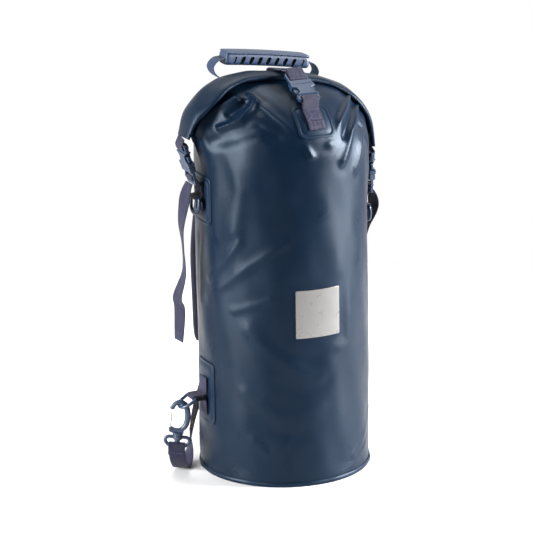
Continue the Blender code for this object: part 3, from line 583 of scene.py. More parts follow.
FOLDS = [
    (((-172, 0.307), (-158, 0.332), (-143, 0.371)), 0.007, 0.0020, 1.2),
    (((-173, 0.276), (-140, 0.330), (-112, 0.373)), 0.008, 0.0020, 1.2),
    (((-149, 0.266), (-122, 0.287)), 0.006, 0.0012, 1.0),
    (((-138, 0.240), (-122, 0.208), (-108, 0.185), (-90, 0.165)), 0.0110, 0.0015, 1.0),
    (((-112, 0.212), (-98, 0.196), (-80, 0.200)), 0.0100, -0.0010, 1.0),
    (((-118, 0.160), (-102, 0.146), (-84, 0.158)), 0.0110, -0.0011, 1.0),
    (((-128, 0.128), (-110, 0.112), (-88, 0.122)), 0.0110, 0.0010, 1.0),
    (((-141, 0.143), (-123, 0.113), (-105, 0.100)), 0.0100, 0.0013, 1.0),
    (((-120, 0.086), (-108, 0.075), (-92, 0.088)), 0.0100, -0.0010, 1.0),
    (((-135, 0.070), (-124, 0.047), (-112, 0.072)), 0.008, 0.0014, 1.0),
    (((-65, 0.012), (-50, 0.027), (-36, 0.043)), 0.005, 0.0014, 1.2),
    (((-60, 0.030), (-45, 0.052), (-30, 0.085)), 0.007, 0.0013, 1.0),
    # The dog-ear under the left end of the roll: its ridge, the pocket's lip and the hollow between
    (((-171, 0.526), (-162, 0.547), (-149, 0.572), (-132, 0.593)), 0.0070, 0.0070, 1.2),
    (((-152, 0.538), (-135, 0.553), (-125, 0.576), (-120, 0.594), (-121, 0.606)), 0.0048, 0.0078, 1.3),
    (((-141, 0.562), (-132, 0.578), (-127, 0.590)), 0.0055, -0.0060, 1.0),
    (((-160, 0.515), (-141, 0.527), (-124, 0.543), (-115, 0.530)), 0.0100, -0.0036, 1.0),
    (((-120, 0.594), (-112, 0.562), (-100, 0.531), (-94, 0.500)), 0.0060, 0.0046, 1.3),
    (((-150, 0.500), (-143, 0.450), (-146, 0.388)), 0.0150, 0.0030, 1.0),
    # The folds that run up to the right end of the roll
    (((-80, 0.517), (-65, 0.548), (-50, 0.570), (-36, 0.584)), 0.0070, 0.0062, 1.2),
    (((-70, 0.485), (-58, 0.525), (-42, 0.548), (-30, 0.556)), 0.0065, 0.0056, 1.2),
    (((-66, 0.520), (-54, 0.545), (-42, 0.562)), 0.0060, -0.0040, 1.0),
    (((-42, 0.528), (-28, 0.495), (-22, 0.462)), 0.0065, -0.0046, 1.0),
    (((-56, 0.470), (-48, 0.500), (-36, 0.520)), 0.0080, 0.0034, 1.1),
    (((180, 0.378), (175, 0.323), (175, 0.264)), 0.006, 0.0012, 1.0),
    (((171, 0.360), (166, 0.300), (169, 0.240)), 0.009, 0.0010, 1.0),
    (((150, 0.480), (138, 0.420), (133, 0.350)), 0.010, 0.0018, 1.0),
    (((30, 0.470), (40, 0.410), (44, 0.330)), 0.010, 0.0018, 1.0),
    (((150, 0.575), (130, 0.545), (112, 0.505)), 0.008, 0.0052, 1.2),
    (((166, 0.545), (150, 0.520), (138, 0.470)), 0.008, 0.0044, 1.2),
    (((34, 0.570), (52, 0.545), (70, 0.505)), 0.008, 0.0052, 1.2),
    (((14, 0.520), (30, 0.500), (46, 0.450)), 0.008, 0.0040, 1.2),
    (((128, 0.240), (112, 0.200), (104, 0.130)), 0.009, 0.0013, 1.0),
    (((50, 0.250), (66, 0.190), (60, 0.120)), 0.009, 0.0013, 1.0),
]


def creased(theta, height):
    """How far the fabric stands off its plain outline, along the normal."""
    turn = np.radians(theta)
    moved = 0.0009 * np.sin(3 * turn + 7 * height + 0.6) * np.sin(11 * height + 1.1)
    moved += 0.0006 * np.sin(7 * turn - 19 * height + 2.1) + 0.00035 * np.sin(16 * turn + 31 * height)
    moved += 0.0005 * np.sin(5 * turn + 2.0) * np.sin(46 * height + 4 * np.sin(2 * turn))
    for line, width, rise, sharp in FOLDS:
        moved = moved + fold(theta, height, line, width, rise, sharp)
    # Puckers fan down from the two ends of the rolled mouth
    for side in (0, 180):
        away = (theta - side + 180) % 360 - 180
        near = np.exp(-((away / 46) ** 2)) * np.clip((height - 0.40) / 0.10, 0, 1)
        moved += 0.0024 * near * np.sin(np.radians(away) * 11 + 1.3 * np.sin(9 * height))
    return moved * damp(theta, height) - 0.0004


def bag_surface():
    """The creased surface: places, normals and heights on a grid of angles and rows."""
    angles = [2 * math.pi * i / COLUMNS for i in range(COLUMNS)]
    plain = np.array([[tuple(p) for p in meridian(a)] for a in angles])
    steps = np.linalg.norm(np.diff(plain, axis=1), axis=2)
    height = BASE_THICKNESS + np.concatenate([np.zeros((COLUMNS, 1)), np.cumsum(steps, axis=1)], axis=1)
    around = np.roll(plain, -1, axis=0) - np.roll(plain, 1, axis=0)
    normal = np.cross(around, np.gradient(plain, axis=1))
    normal /= np.linalg.norm(normal, axis=2, keepdims=True)
    theta = np.degrees(np.array(angles))[:, None] * np.ones_like(height)
    theta = (theta + 180) % 360 - 180
    fade = np.ones(height.shape[1])
    fade[-12:] = np.linspace(1, 0, 12)
    moved = creased(theta, height) * fade
    places = plain + normal * moved[:, :, None]
    around = np.roll(places, -1, axis=0) - np.roll(places, 1, axis=0)
    normal = np.cross(around, np.gradient(places, axis=1))
    normal /= np.linalg.norm(normal, axis=2, keepdims=True)
    return places, normal, height


PLACES, NORMALS, HEIGHTS = bag_surface()


def on_bag(angle, height, lift):
    """A place on the creased surface at an angle and a distance up it, and off it by lift."""
    column = (angle / (2 * math.pi) * COLUMNS) % COLUMNS
    first = int(column) % COLUMNS
    found = np.zeros(6)
    for index, weight in ((first, 1 - column % 1), ((first + 1) % COLUMNS, column % 1)):
        for k in range(3):
            found[k] += weight * np.interp(height, HEIGHTS[index], PLACES[index, :, k])
            found[3 + k] += weight * np.interp(height, HEIGHTS[index], NORMALS[index, :, k])
    return Vector(found[:3]) + Vector(found[3:]).normalized() * lift


def wall(degrees):
    return lambda u, v, lift: on_bag(math.radians(degrees) + u / BODY_RADIUS, v, lift)


def shoulder(x_middle, facing):
    """Places above where the shoulder starts: across, distance up, distance off."""
    def place(u, v, lift):
        angle = facing * (math.pi / 2 - (x_middle + u) / BODY_RADIUS)
        side = abs(math.sin(angle))
        low = SHOULDER_SIDE_Z + (SHOULDER_FRONT_Z - SHOULDER_SIDE_Z) * side**2
        return on_bag(angle, low + v, lift)
    return place


def bag_body():
    rows = PLACES.shape[1]
    points = PLACES.reshape(-1, 3)
    inner = (PLACES - NORMALS * 0.0012).reshape(-1, 3)
    turn = np.arange(COLUMNS) / COLUMNS * 2 * math.pi * BODY_RADIUS
    uv = np.stack([np.repeat(turn, rows), HEIGHTS.ravel()], axis=1)
    faces = []
    for c in range(COLUMNS):
        d = (c + 1) % COLUMNS
        for r in range(rows - 1):
            faces.append((c * rows + r, d * rows + r, d * rows + r + 1, c * rows + r + 1))
    count = len(points)
    faces += [tuple(count + i for i in reversed(face)) for face in faces]
    for c in range(COLUMNS):
        d = (c + 1) % COLUMNS
        for r in (0, rows - 1):
            faces.append((c * rows + r, d * rows + r, count + d * rows + r, count + c * rows + r))
    both = np.concatenate([points, inner])
    piece("bag_body", both, faces, COATED, "bag", ["bag_shell"], np.concatenate([uv, uv]))


def base():
    """The welded round base, and the lip of its seam round the foot of the wall."""
    lip = [(0.0, 0.0002), (0.0006, 0.0), (0.0013, 0.0008), (0.0015, 0.0034)]
    lip += [(0.0012, 0.0056), (0.0005, 0.0066), (-0.0004, 0.0066)]
    profile = [(BODY_RADIUS + off, z) for off, z in lip]
    sides = 240
    points, uv = [], []
    for i in range(sides):
        a = 2 * math.pi * i / sides
        wave = 0.00025 * math.sin(9 * a) + 0.0002 * math.sin(23 * a + 1)
        for radius, z in profile:
            r = radius + (wave if z > 0.0003 else 0)
            points.append((r * math.cos(a), r * math.sin(a), z + (0.4 * wave if z > 0.005 else 0)))
            uv.append((a * BODY_RADIUS, z))
    piece("base_lip", points, loop_faces(sides, len(profile), True), WELD, "bag", ["base_seam"], uv)
    points, uv = [], []
    rings = [(0.0001, 0.0006), (0.05, 0.0005), (0.10, 0.0002), (0.1235, 0.0), (0.1275, 0.0003)]
    rings += [(0.1280, 0.0012), (0.1280, 0.0024), (0.10, 0.0025), (0.0001, 0.0025)]
    for radius, z in rings:
        for i in range(sides):
            a = 2 * math.pi * i / sides
            points.append((radius * math.cos(a), radius * math.sin(a), z))
            uv.append((radius * math.cos(a), radius * math.sin(a)))
    piece("base_disc", points, loop_faces(len(rings), sides), COATED, "bag", ["base_panel"], uv)


def roll_shape():
    """The mouth rolled up flat: one long sheet wound round the stiffeners, its layers showing at the ends."""
    turns, count = 3.1, 92
    sheet = 0.0008
    frames = 110
    points, uv = [], []
    for f in range(frames + 1):
        share = 2 * f / frames - 1
        centre, normal = on_roll(share)
        end = max(0.0, abs(share) - 0.78) / 0.22
        thick = 1 - 0.30 * end + 0.05 * math.sin(23 * share + 1) * (1 - end)
        deep = 1 + 0.02 * math.sin(11 * share) - 0.10 * end**2
        drift = 0.0009 * math.sin(7 * share + 0.5)
        # The ends of the roll sag forwards into broad wings, the left one most
        wing = math.exp(-(((share + 0.66) / 0.20) ** 2)) + 0.55 * math.exp(-(((share - 0.62) / 0.20) ** 2))
        slack = min(1.0, abs(share + 0.02) / 0.2)
        outline = []
        for k in range(count):
            t = k / (count - 1)
            a = -math.pi * 0.5 + 2 * math.pi * turns * (t - 1)
            size = 0.36 + 0.64 * t**0.9
            half_y = (ROLL_HALF_DEPTH - 0.0042 * (1 - size)) * (0.62 + 0.38 * size) - 0.0002
            half_n = (ROLL_HALF_THICKNESS - 0.0001) * size
            y = half_y * boxy(math.cos(a), 0.75)
            n = half_n * boxy(math.sin(a), 0.75)
            lean = -y / ROLL_HALF_DEPTH if y < 0 else 0.25 * y / ROLL_HALF_DEPTH
            y *= 1 + 0.55 * wing * (y < 0)
            n -= 0.0080 * wing * lean
            n += 0.0003 * slack * math.sin(29 * share + 90 * y)
            n += 0.0006 * wing * math.sin(17 * share - 160 * y)
            outline.append((y, n))
        for inner in (False, True):
            run = outline if not inner else list(reversed(outline))
            for k, (y, n) in enumerate(run):
                length = math.hypot(y, n) or 1.0
                shrink = 1 - (sheet / max(length, 0.002) if inner else 0)
                place = centre + Vector((0, (y * shrink) * deep + drift, 0)) + normal * (n * shrink * thick)
                points.append(sloped(place))
                uv.append((share * 0.2, 0.09 * (k if not inner else count - 1 - k) / count * turns))
    faces = loop_faces(frames + 1, 2 * count)
    faces = faces[:-2]
    for start in (0, frames * 2 * count):
        for k in range(count - 1):
            faces.append((start + k, start + k + 1, start + 2 * count - 2 - k, start + 2 * count - 1 - k))
    piece("roll_sheet", points, faces, COATED, "bag", ["rolled_mouth"], uv)
    for node in ("mouth_stiffener_front", "mouth_stiffener_back"):
        slots = frame["nodes"][node].data.materials
        slots.clear()
        slots.append(STIFF)


# ---------------------------------------------------------------- patches


def rounded(width, height, corner, count=6):
    """A rounded rectangle's outline, counter-clockwise."""
    found = []
    x, y = width / 2 - corner, height / 2 - corner
    for cx, cy, start in ((x, y, 0), (-x, y, 90), (-x, -y, 180), (x, -y, 270)):
        found += arc(cx, cy, corner, start, start + 90, count)
    return found


def long_outline(outline, step=0.0035):
    """The outline with more points on its straight runs."""
    found = []
    for k, (x, y) in enumerate(outline):
        nx, ny = outline[(k + 1) % len(outline)]
        count = max(1, round(math.hypot(nx - x, ny - y) / step))
        found += [(x + (nx - x) * i / count, y + (ny - y) * i / count) for i in range(count)]
    return found


def welded_patch(name, place, middle, width, height, nodes, look=WELD, corner=0.010,
                 groove=True, thickness=PATCH_THICKNESS):
    """A welded patch: rounded edges and, a little inside them, the groove that the welding bar leaves."""
    steps = [(0.0, 0.0), (0.0, 0.55), (0.0006, 0.92), (0.0014, 1.0)]
    if groove:
        steps += [(0.0034, 1.0), (0.0042, 0.55), (0.0056, 0.50), (0.0064, 0.98)]
    outline = long_outline(rounded(width, height, corner))
    rings = [(1 - 2 * inset / width, 1 - 2 * inset / height, level) for inset, level in steps]
    last_x, last_y, _ = rings[-1]
    rings += [(last_x * shrink, last_y * shrink, 1.0) for shrink in (0.80, 0.60, 0.40, 0.20)]
    points, uv = [], []
    for share_x, share_y, level in rings:
        for x, y in outline:
            points.append(place(x * share_x, middle + y * share_y, PATCH_LIFT + thickness * level))
            uv.append((x * share_x, y * share_y))
    faces = loop_faces(len(rings), len(outline))
    return piece(name, points, faces, look, "bag", nodes, uv)


# ---------------------------------------------------------------- hardware


def buckle_looks(label, bodies):
    """The two halves and the two prongs, softened as mouldings."""
    moulded(f"{label}_female_look", [solid_of(f"{label}_buckle_female")], PLASTIC, "bag",
            [f"{label}_buckle_female"])
    moulded(f"{label}_male_look", [solid_of(f"{label}_buckle_male")], PLASTIC, bodies,
            [f"{label}_buckle_male"])
    for side in ("a", "b"):
        moulded(f"{label}_prong_{side}_look", [solid_of(f"{label}_prong_{side}")], PLASTIC,
                f"{label}_prong_{side}", [f"{label}_prong_{side}"], rounds=4)


def d_ring(name, place, body, node, half_width=0.0150, depth=0.024):
    bow = arc(0, -depth + half_width, half_width, 180, 360, 22)
    bow += arc(half_width - 0.003, -0.003, 0.003, 0, 90, 6)
    bow += arc(-half_width + 0.003, -0.003, 0.003, 90, 180, 6)
    dense = long_outline(bow, 0.0012)
    points, faces = tube([place @ Vector((x, y, 0)) for x, y in dense], D_ROD + 0.0003, True, 16)
    return piece(name, points, faces, PLASTIC, body, [node])


def fold_line(place, out, ring_z, top, bottom, off):
    turn = D_ROD + 0.0005 + WEB_THICKNESS / 2
    upper = [(off, top), (off, (top + ring_z) / 2 + 0.002), (off + 0.0005, ring_z + 0.0065)]
    upper += [(off + 0.0028, ring_z + 0.0040), (out - 0.003, ring_z + turn)]
    around = arc(out, ring_z, turn, 90, -90, 8)
    lower = [(out - 0.003, ring_z - turn), (off + 0.0028, ring_z - 0.0040), (off + 0.0005, ring_z - 0.0065)]
    lower += [(off, (bottom + ring_z) / 2 - 0.002), (off, bottom)]
    return smooth_line([place(x, y) for x, y in upper + around + lower], 4)


def radial(degrees):
    out = polar(1, degrees, 0)
    across = Vector((-out.y, out.x, 0))

    def place(x, y, z=0.0):
        return out * (BODY_RADIUS + x) + across * z + Vector((0, 0, y))
    return place, out, across


def snap_hook(side, place):
    """The swivel snap hook, its eye and its doubled wire gate."""
    line = smooth_line([(x, y, 0) for x, y in HOOK_LINE], 8)
    sweep = []
    for k in range(len(line)):
        t = k / (len(line) - 1)
        sweep.append(0.0037 + 0.0011 * math.sin(math.pi * min(1, t * 1.15)) - 0.0004 * t)
    bow = tube([place @ p for p in line], sweep, sides=18)
    nose_line = ((-0.0104, 0.0592), (-0.0110, 0.0572), (-0.0112, 0.0556))
    nose = tube([place @ Vector((x, y, 0)) for x, y in nose_line], [0.0036, 0.0040, 0.0030], sides=16)
    node = f"{side}_strap_hook"
    moulded(f"{side}_hook_look", [solid_of(node), bow, nose], PLASTIC, f"{side}_hook", [node],
            voxel=0.00045, rounds=5)
    gate = []
    for offset in (-0.0013, 0.0013):
        wire = [(-0.0112, 0.0286, offset), (-0.0114, 0.0340, offset), (-0.0113, 0.0440, offset * 0.9),
                (-0.0111, 0.0520, offset * 0.7), (-0.0110, 0.0536, 0.0)]
        gate.append(tube([place @ p for p in smooth_line(wire, 5)], 0.0009, sides=10))
    points, faces = joined(*gate)
    piece(f"{side}_gate_wires", points, faces, WIRE, f"{side}_gate", [f"{side}_strap_gate"])
    loop = arc(0.0125, 0.0075, 0.0055, -50, 90, 12) + arc(-0.0125, 0.0075, 0.0055, 90, 230, 12)
    loop = [(0.0135, 0.0)] + loop + [(-0.0135, 0.0)]
    ring = tube([place @ Vector((x, y, 0)) for x, y in long_outline(loop, 0.0012)], 0.0026, True, 16)
    moulded(f"{side}_eye_look", [ring, solid_of(f"{side}_strap_swivel_eye")], PLASTIC, "bag",
            [f"{side}_strap_swivel_eye"], voxel=0.00045, rounds=6)


# ---------------------------------------------------------------- closures and straps


def front_closure():
    tilt = math.radians(FRONT_TILT)
    up = Vector((0, math.cos(tilt), math.sin(tilt)))
    across = Vector((1, 0, 0))
    mouth = Vector((FRONT_X, -0.036, 0.6015)) - up * 0.0295
    place = frame_at(mouth, across, up)
    buckle_looks("front", "front_male")
    front = shoulder(FRONT_X, -1)
    welded_patch("front_patch_look", front, 0.062, PATCH_WIDTH, 0.054, ["front_patch"])
    off = OFF_WALL
    second = off + WEB_THICKNESS + 0.0004
    tab = [front(0, v, off) for v in (0.047, 0.058, 0.069, 0.079)]
    around = [(-0.0350, -0.0044), (-0.0308, -0.0045), (-0.0267, -0.0040), (-0.0263, 0.0)]
    around += [(-0.0267, 0.0040), (-0.0308, 0.0045), (-0.0350, 0.0030)]
    tab += in_plane(place, around)
    tab += [front(0, v, second) for v in (0.079, 0.069, 0.060)]
    line = smooth_line(tab, 5)
    ribbon("front_tab_web", line, [across] * len(line), "bag", ["front_tab"])
    top = second + WEB_THICKNESS / 2 + 0.0003
    rows = [[front(u, v, top) for u in (-0.0105, -0.005, 0, 0.005, 0.0105)] for v in (0.0620, 0.0765)]
    rows.append([front(-0.0105 + 0.021 * t, 0.0625 + 0.0135 * t, top) for t in (0, 0.25, 0.5, 0.75, 1)])
    stitches("front_tab_stitches", rows, "bag")

    strap = in_plane(place, LADDER_PATH)
    level = len(strap)
    over = [(-0.0295, 0.6062), (-0.0180, 0.6034), (-0.0070, 0.6020)]
    over += [(0.0070, 0.6016), (0.0165, 0.5985), (0.0220, 0.5915)]
    strap += [Vector((FRONT_X - 0.002 - 0.12 * (y + 0.03), y, z)) for y, z in over]
    back = shoulder(-0.001, 1)
    strap += [back(0, v, off) for v in (0.115, 0.095, 0.075, 0.058)]
    line = smooth_line(strap, 5)
    sloping = Vector((1, 0, TOP_SLOPE))
    acrosses = [across if i < 5 * level else sloping for i in range(len(line))]
    made = ribbon("front_strap_web", line, acrosses, None, ["front_strap"])
    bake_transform(made)
    welded_patch("back_strap_patch_look", back, 0.066, 0.046, 0.044, ["front_strap_patch"], groove=False)
    rows = [[back(u, v, off + 0.0012) for u in (-0.010, 0, 0.010)] for v in (0.0615, 0.0740)]
    stitches("back_strap_stitches", rows, "bag")


def side_closure(side, top, bottom, drop, route):
    sign = -1 if side == "left" else 1
    label = f"{side}_side"
    down = (Vector(bottom) - Vector(top)).normalized()
    across = Vector((0, -sign, 0))
    mouth = Vector(top) + down * 0.0325
    place = frame_at(mouth, across, down)
    male = f"{label}_male"
    buckle_looks(label, male)
    degrees = 180 if side == "left" else 0
    near, out, tangent = radial(degrees)
    welded_patch(f"{label}_patch_look", wall(degrees), 0.422 - drop, PATCH_WIDTH, 0.072, [f"{label}_patch"])
    centre, normal = on_roll(sign * 1.0)
    along = Vector((normal.z * sign, 0, -abs(normal.x)))
    start = sloped(centre) + along * 0.0015
    loop = [Vector((start.x, -0.0020, start.z))]
    around = [(-0.0345, 0.0038), (-0.0308, 0.0044), (-0.0267, 0.0040), (-0.0263, 0.0)]
    around += [(-0.0267, -0.0040), (-0.0308, -0.0044), (-0.0350, -0.0030)]
    loop += in_plane(place, around)
    line = smooth_line(loop, 5)
    width = place.to_3x3() @ Vector((1, 0, 0))
    ribbon(f"{label}_loop_web", line, [width] * len(line), "bag", [f"{label}_end_loop"])

    ring_z = 0.4250 - drop
    off = OFF_WALL
    line = fold_line(near, 0.0090, ring_z, ring_z + 0.0205, ring_z - 0.0200, off)
    ribbon(f"{label}_tab_web", line, [tangent] * len(line), "bag", [f"{label}_ring_tab"])
    ring_place = frame_at(near(0.0090, ring_z), tangent, Vector((0, 0, 0.99)) - out * 0.10)
    d_ring(f"{label}_ring_look", ring_place, f"{label}_ring", f"{label}_d_ring")
    second = off + WEB_THICKNESS + 0.0004
    strap = [near(second, ring_z + d) for d in (0.0095, 0.0150, 0.0190)]
    strap += in_plane(place, SIDE_LADDER_PATH)
    line = smooth_line(strap, 5)
    made = ribbon(f"{label}_strap_web", line, [width] * len(line), None, [f"{label}_strap"])
    tuple(near(second, ring_z + 0.0150))
    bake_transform(made)
    pivot = place @ Vector(TAIL_PIVOT)
    line = smooth_line([pivot] + [Vector(p) for p in route], 9)
    turned = []
    for i in range(len(line)):
        t = i / (len(line) - 1)
        twist = 0.30 * math.sin(9 * t) * min(1, 4 * t)
        turned.append(Matrix.Rotation(twist, 3, "Z") @ width)
    ribbon(f"{label}_tail_web", line, turned, f"{side}_tail", [f"{label}_tail"])
    end = line[-1]
    along = (end - line[-5]).normalized()
    face = turned[-1].cross(along).normalized()
    hem = end - face * 0.0014 * sign
    rows = [[hem - along * d + turned[-1] * w for w in STITCH_SPAN] for d in (0.003, 0.012)]
    stitches(f"{label}_tail_stitches", rows, f"{side}_tail")


def lower_hook(side, degrees, pad_foot_degrees):
    label = f"{side}_lower"
    near, out, tangent = radial(degrees)
    up = Vector((0, 0, 1))
    welded_patch(f"{label}_patch_look", wall(degrees), 0.1265, PATCH_WIDTH, 0.097, [f"{label}_patch"])
    ring_out, ring_z, droop = 0.021, 0.120, math.radians(32)
    line = fold_line(near, ring_out, ring_z, 0.149, 0.0925, OFF_WALL)
    ribbon(f"{label}_tab_web", line, [tangent] * len(line), "bag", [f"{label}_ring_tab"])
    high = OFF_WALL + WEB_THICKNESS / 2 + 0.0003
    rows = [[near(high, z, w) for w in STITCH_SPAN] for z in (0.1455, 0.1330, 0.1075, 0.0950)]
    rows += [[near(high, a, -0.0105), near(high, b, 0.0105)] for a, b in ((0.1455, 0.1330), (0.1075, 0.0950))]
    stitches(f"{label}_tab_stitches", rows, "bag")
    bar = near(ring_out, ring_z)
    bow = out * math.cos(droop) - up * math.sin(droop)
    d_ring(f"{label}_ring_look", frame_at(bar, tangent, -bow), f"{label}_ring", f"{label}_d_ring")
    lean = (up - out * 0.10).normalized()
    foot = bar + bow * 0.024 - lean * 0.0600
    place = frame_at(foot, tangent * 0.4067 - out * 0.9135, lean)
    snap_hook(side, place)

    hook_across = place.to_3x3() @ Vector((1, 0, 0))
    fold_round = [(-0.0160, -0.0021), (-0.0060, -0.0020), (-0.0010, -0.0037), (0.0028, -0.0030)]
    fold_round += [(0.0040, 0.0), (0.0028, 0.0030), (-0.0010, 0.0037), (-0.0060, 0.0018)]
    points = in_plane(place, fold_round)
    behind = 1 if side == "left" else -1
    ground_across = -out * 0.75 + tangent * 0.6 * behind
    route = [(0.03, 0.1710, 0.018), (0.11, 0.1600, 0.0034), (0.24, 0.1475, 0.0160), (0.42, 0.1430, 0.036)]
    route += [(0.64, 0.1440, 0.060), (0.86, 0.1500, 0.084), (0.985, 0.1545, 0.107)]
    route += [(1.0, STRAP_FOOT_RADIUS, 0.1255)]
    for share, radius, z in route:
        points.append(polar(radius, degrees + (pad_foot_degrees - degrees) * share, z))
    steps = 6
    line = smooth_line(points, steps)
    acrosses = []
    ground, edge = steps * (len(fold_round) + 1), steps * (len(fold_round) + 3)
    for i, (point, along) in enumerate(zip(line, tangents(line))):
        on_edge = along.cross(Vector((point.x, point.y, 0)).normalized()) * behind
        if i <= ground:
            t = max(0, i - steps * (len(fold_round) - 1)) / (2 * steps)
            acrosses.append(hook_across.lerp(ground_across, min(1, t)))
        else:
            acrosses.append(ground_across.lerp(on_edge, min(1, (i - ground) / (edge - ground))))
    ribbon(f"{side}_lower_strap_web", line, acrosses, "bag", [f"{side}_strap_webbing"])
    rows = [[place @ Vector((w, -0.0115, 0.0034)) for w in STITCH_SPAN]]
    rows.append([place @ Vector((w, -0.0115, -0.0034)) for w in STITCH_SPAN])
    stitches(f"{side}_fold_stitches", rows, "bag")


def grip_height(share):
    """Height of the grip's middle over the hinge line, at a share of its half length."""
    return GRIP_RISE - GRIP_SAG * share**2


def grip_body(place, sides=40, stations=60):
    rings = []
    for s in range(stations + 1):
        share = 2 * s / stations - 1
        x = share * GRIP_HALF
        y = grip_height(share)
        size = 1 - 0.14 * max(0.0, (abs(share) - 0.93) / 0.07) ** 2
        for i in range(sides):
            a = 2 * math.pi * i / sides
            wide = 0.0150 * boxy(math.cos(a), 0.55)
            tall = 0.0100 * boxy(math.sin(a), 0.55)
            rings.append(place @ Vector((x, y + tall * size, wide * size)))
    return rings, loop_faces(stations + 1, sides)


def grip_lip(place, stations=60):
    """The flat top, which stands a little out over the grip's sides."""
    outline = ((0.0163, 0.0), (0.0167, 0.0011), (0.0158, 0.0021), (0, 0.0026), (-0.0158, 0.0021))
    outline += ((-0.0167, 0.0011), (-0.0163, 0.0), (0, -0.001))
    lip = []
    for s in range(stations + 1):
        share = 2 * s / stations - 1
        x = share * (GRIP_HALF - 0.001)
        y = grip_height(share) + 0.0083
        narrow = 1 - 0.12 * max(0.0, (abs(share) - 0.9) / 0.1) ** 2
        for z, h in outline:
            lip.append(place @ Vector((x, y + h, z * narrow)))
    return lip, loop_faces(stations + 1, len(outline))


def grip_recesses(place):
    """Cutters for the slanted recesses along both sides, shallow at the two ends."""
    slot_outline = arc(0, 0.0034, 0.0036, 0, 180, 8) + arc(0, -0.0034, 0.0036, 180, 360, 8)
    cutters = []
    for k in range(RECESSES):
        x = (k - RECESSES // 2) * RECESS_PITCH
        deep = 0.0030 if 0 < k < RECESSES - 1 else 0.0012
        sag = GRIP_SAG * (x / GRIP_HALF) ** 2
        for facing in (-1, 1):
            ring = []
            for level in (0, 1):
                size = 1.0 if level else 0.82
                z = facing * (0.0150 - deep + level * (deep + 0.004))
                for px, py in slot_outline:
                    leaning_x = x + px * size + 0.35 * py * size
                    ring.append(place @ Vector((leaning_x, 0.0302 + py * size - sag, z)))
            cutters.append((ring, loop_faces(2, len(slot_outline))))
    return cutters


def handle_grip(place):
    parts = [grip_body(place), grip_lip(place)]
    grip = moulded("grip_look", parts, RUBBER, "handle", ["handle_grip"], 0.0008, 3, 1.0)
    cutter = mesh_object("grip_cutters", *joined(*grip_recesses(place)))
    face_outwards(cutter.data)
    cut = grip.modifiers.new("recesses", "BOOLEAN")
    cut.object = cutter
    cut.solver = "EXACT"
    bpy.context.view_layer.update()
    settle(grip)
    bpy.data.objects.remove(cutter, do_unlink=True)
    finished(grip, RUBBER, 40)


def handle_anchor(side, sign):
    anchor = shoulder(HANDLE_MIDDLE.x + sign * HANDLE_ANCHOR_REACH, 1)
    name = f"handle_anchor_{side}"
    welded_patch(f"{name}_look", anchor, 0.088, 0.034, 0.040, [name], WEB,
                 corner=0.004, groove=False, thickness=0.0022)
    rows = [[anchor(u, v, 0.0030) for u in (-0.014, 0, 0.014)] for v in (0.072, 0.104)]
    rows += [[anchor(u, v, 0.0030) for v in (0.072, 0.088, 0.104)] for u in (-0.014, 0.014)]
    stitches(f"{name}_stitches", rows, "bag")
    # Webbing runs up the shoulder from the stitched end, and stops behind the handle's hinge line
    reach = [anchor(0, 0.070 + 0.004 * k, 0.0030) for k in range(30)]
    reach = [p for p in reach if p.y > HANDLE_MIDDLE.y + 0.003]
    line = smooth_line(reach, 3)
    ribbon(f"{name}_web", line, [Vector((1, 0, TOP_SLOPE))] * len(line), "bag", look=HANDLE_WEB)


def handle():
    along = Vector((1, 0, TOP_SLOPE)).normalized()
    up = Vector((-along.z, 0, along.x))
    place = frame_at(HANDLE_MIDDLE, along, up)
    outline = [(-x, y) for x, y in reversed(HANDLE_HALF[1:])] + HANDLE_HALF
    line = smooth_line([place @ Vector((x, y, 0)) for x, y in outline], 8)
    ribbon("handle_web", line, [Vector((0, 1, 0))] * len(line), "handle", ["handle_webbing"], look=HANDLE_WEB)
    handle_grip(place)
    handle_anchor("left", -1)
    handle_anchor("right", 1)


def shoulder_strap(side):
    sign = -1 if side == "left" else 1
    degrees = [d if sign > 0 else 180 - d for _, d, _ in PAD_LINE]
    line = smooth_line([polar(r, d, z) for (r, _, z), d in zip(PAD_LINE, degrees)], 9)
    points, uv = [], []
    sides = 36
    gone = 0.0
    stitch_rows = [[], []]
    strip = []
    strip_acrosses = []
    for i, (point, along) in enumerate(zip(line, tangents(line))):
        gone += (line[i] - line[i - 1]).length if i else 0.0
        here = math.atan2(point.y, point.x)
        width = Vector((-math.sin(here), math.cos(here), 0))
        face = width.cross(along).normalized()
        if face.dot(Vector((point.x, point.y, 0))) < 0:
            face = -face
        end = min(i, len(line) - 1 - i) / 5
        size = 0.80 + 0.20 * math.sqrt(1 - (1 - min(1, end)) ** 2)
        for k in range(sides):
            a = 2 * math.pi * k / sides
            w = PAD_HALF_WIDTH * size * boxy(math.cos(a), 0.6)
            edge = max(0.0, abs(w) / (PAD_HALF_WIDTH * size) - 0.86) / 0.14
            t = (0.0056 - 0.0022 * edge) * size * boxy(math.sin(a), 0.7)
            quilt = 0.0004 * math.sin(gone * 2 * math.pi / 0.042) * (1 - edge)
            points.append(point + width * w + face * (t + quilt * (1 if t > 0 else -1)))
            uv.append((gone, w + (0.1 if t > 0 else 0)))
        for row, w in zip(stitch_rows, (-PAD_STITCHES, PAD_STITCHES)):
            row.append(point + width * w * size + face * 0.0050 * size)
        if 4 < i < len(line) - 2:
            strip.append(point + face * 0.0066)
            strip_acrosses.append(width)
    name = f"{side}_pad_look"
    made = piece(name, points, loop_faces(len(line), sides), PADDING, "bag",
                 [f"{side}_shoulder_pad"], uv)
    stitches(f"{side}_pad_stitches", stitch_rows, "bag")
    ribbon(f"{side}_pad_web", strip, strip_acrosses, "bag")
    moulded(f"{side}_adjuster_look", [solid_of(f"{side}_strap_adjuster")], PLASTIC, "bag",
            [f"{side}_strap_adjuster"])


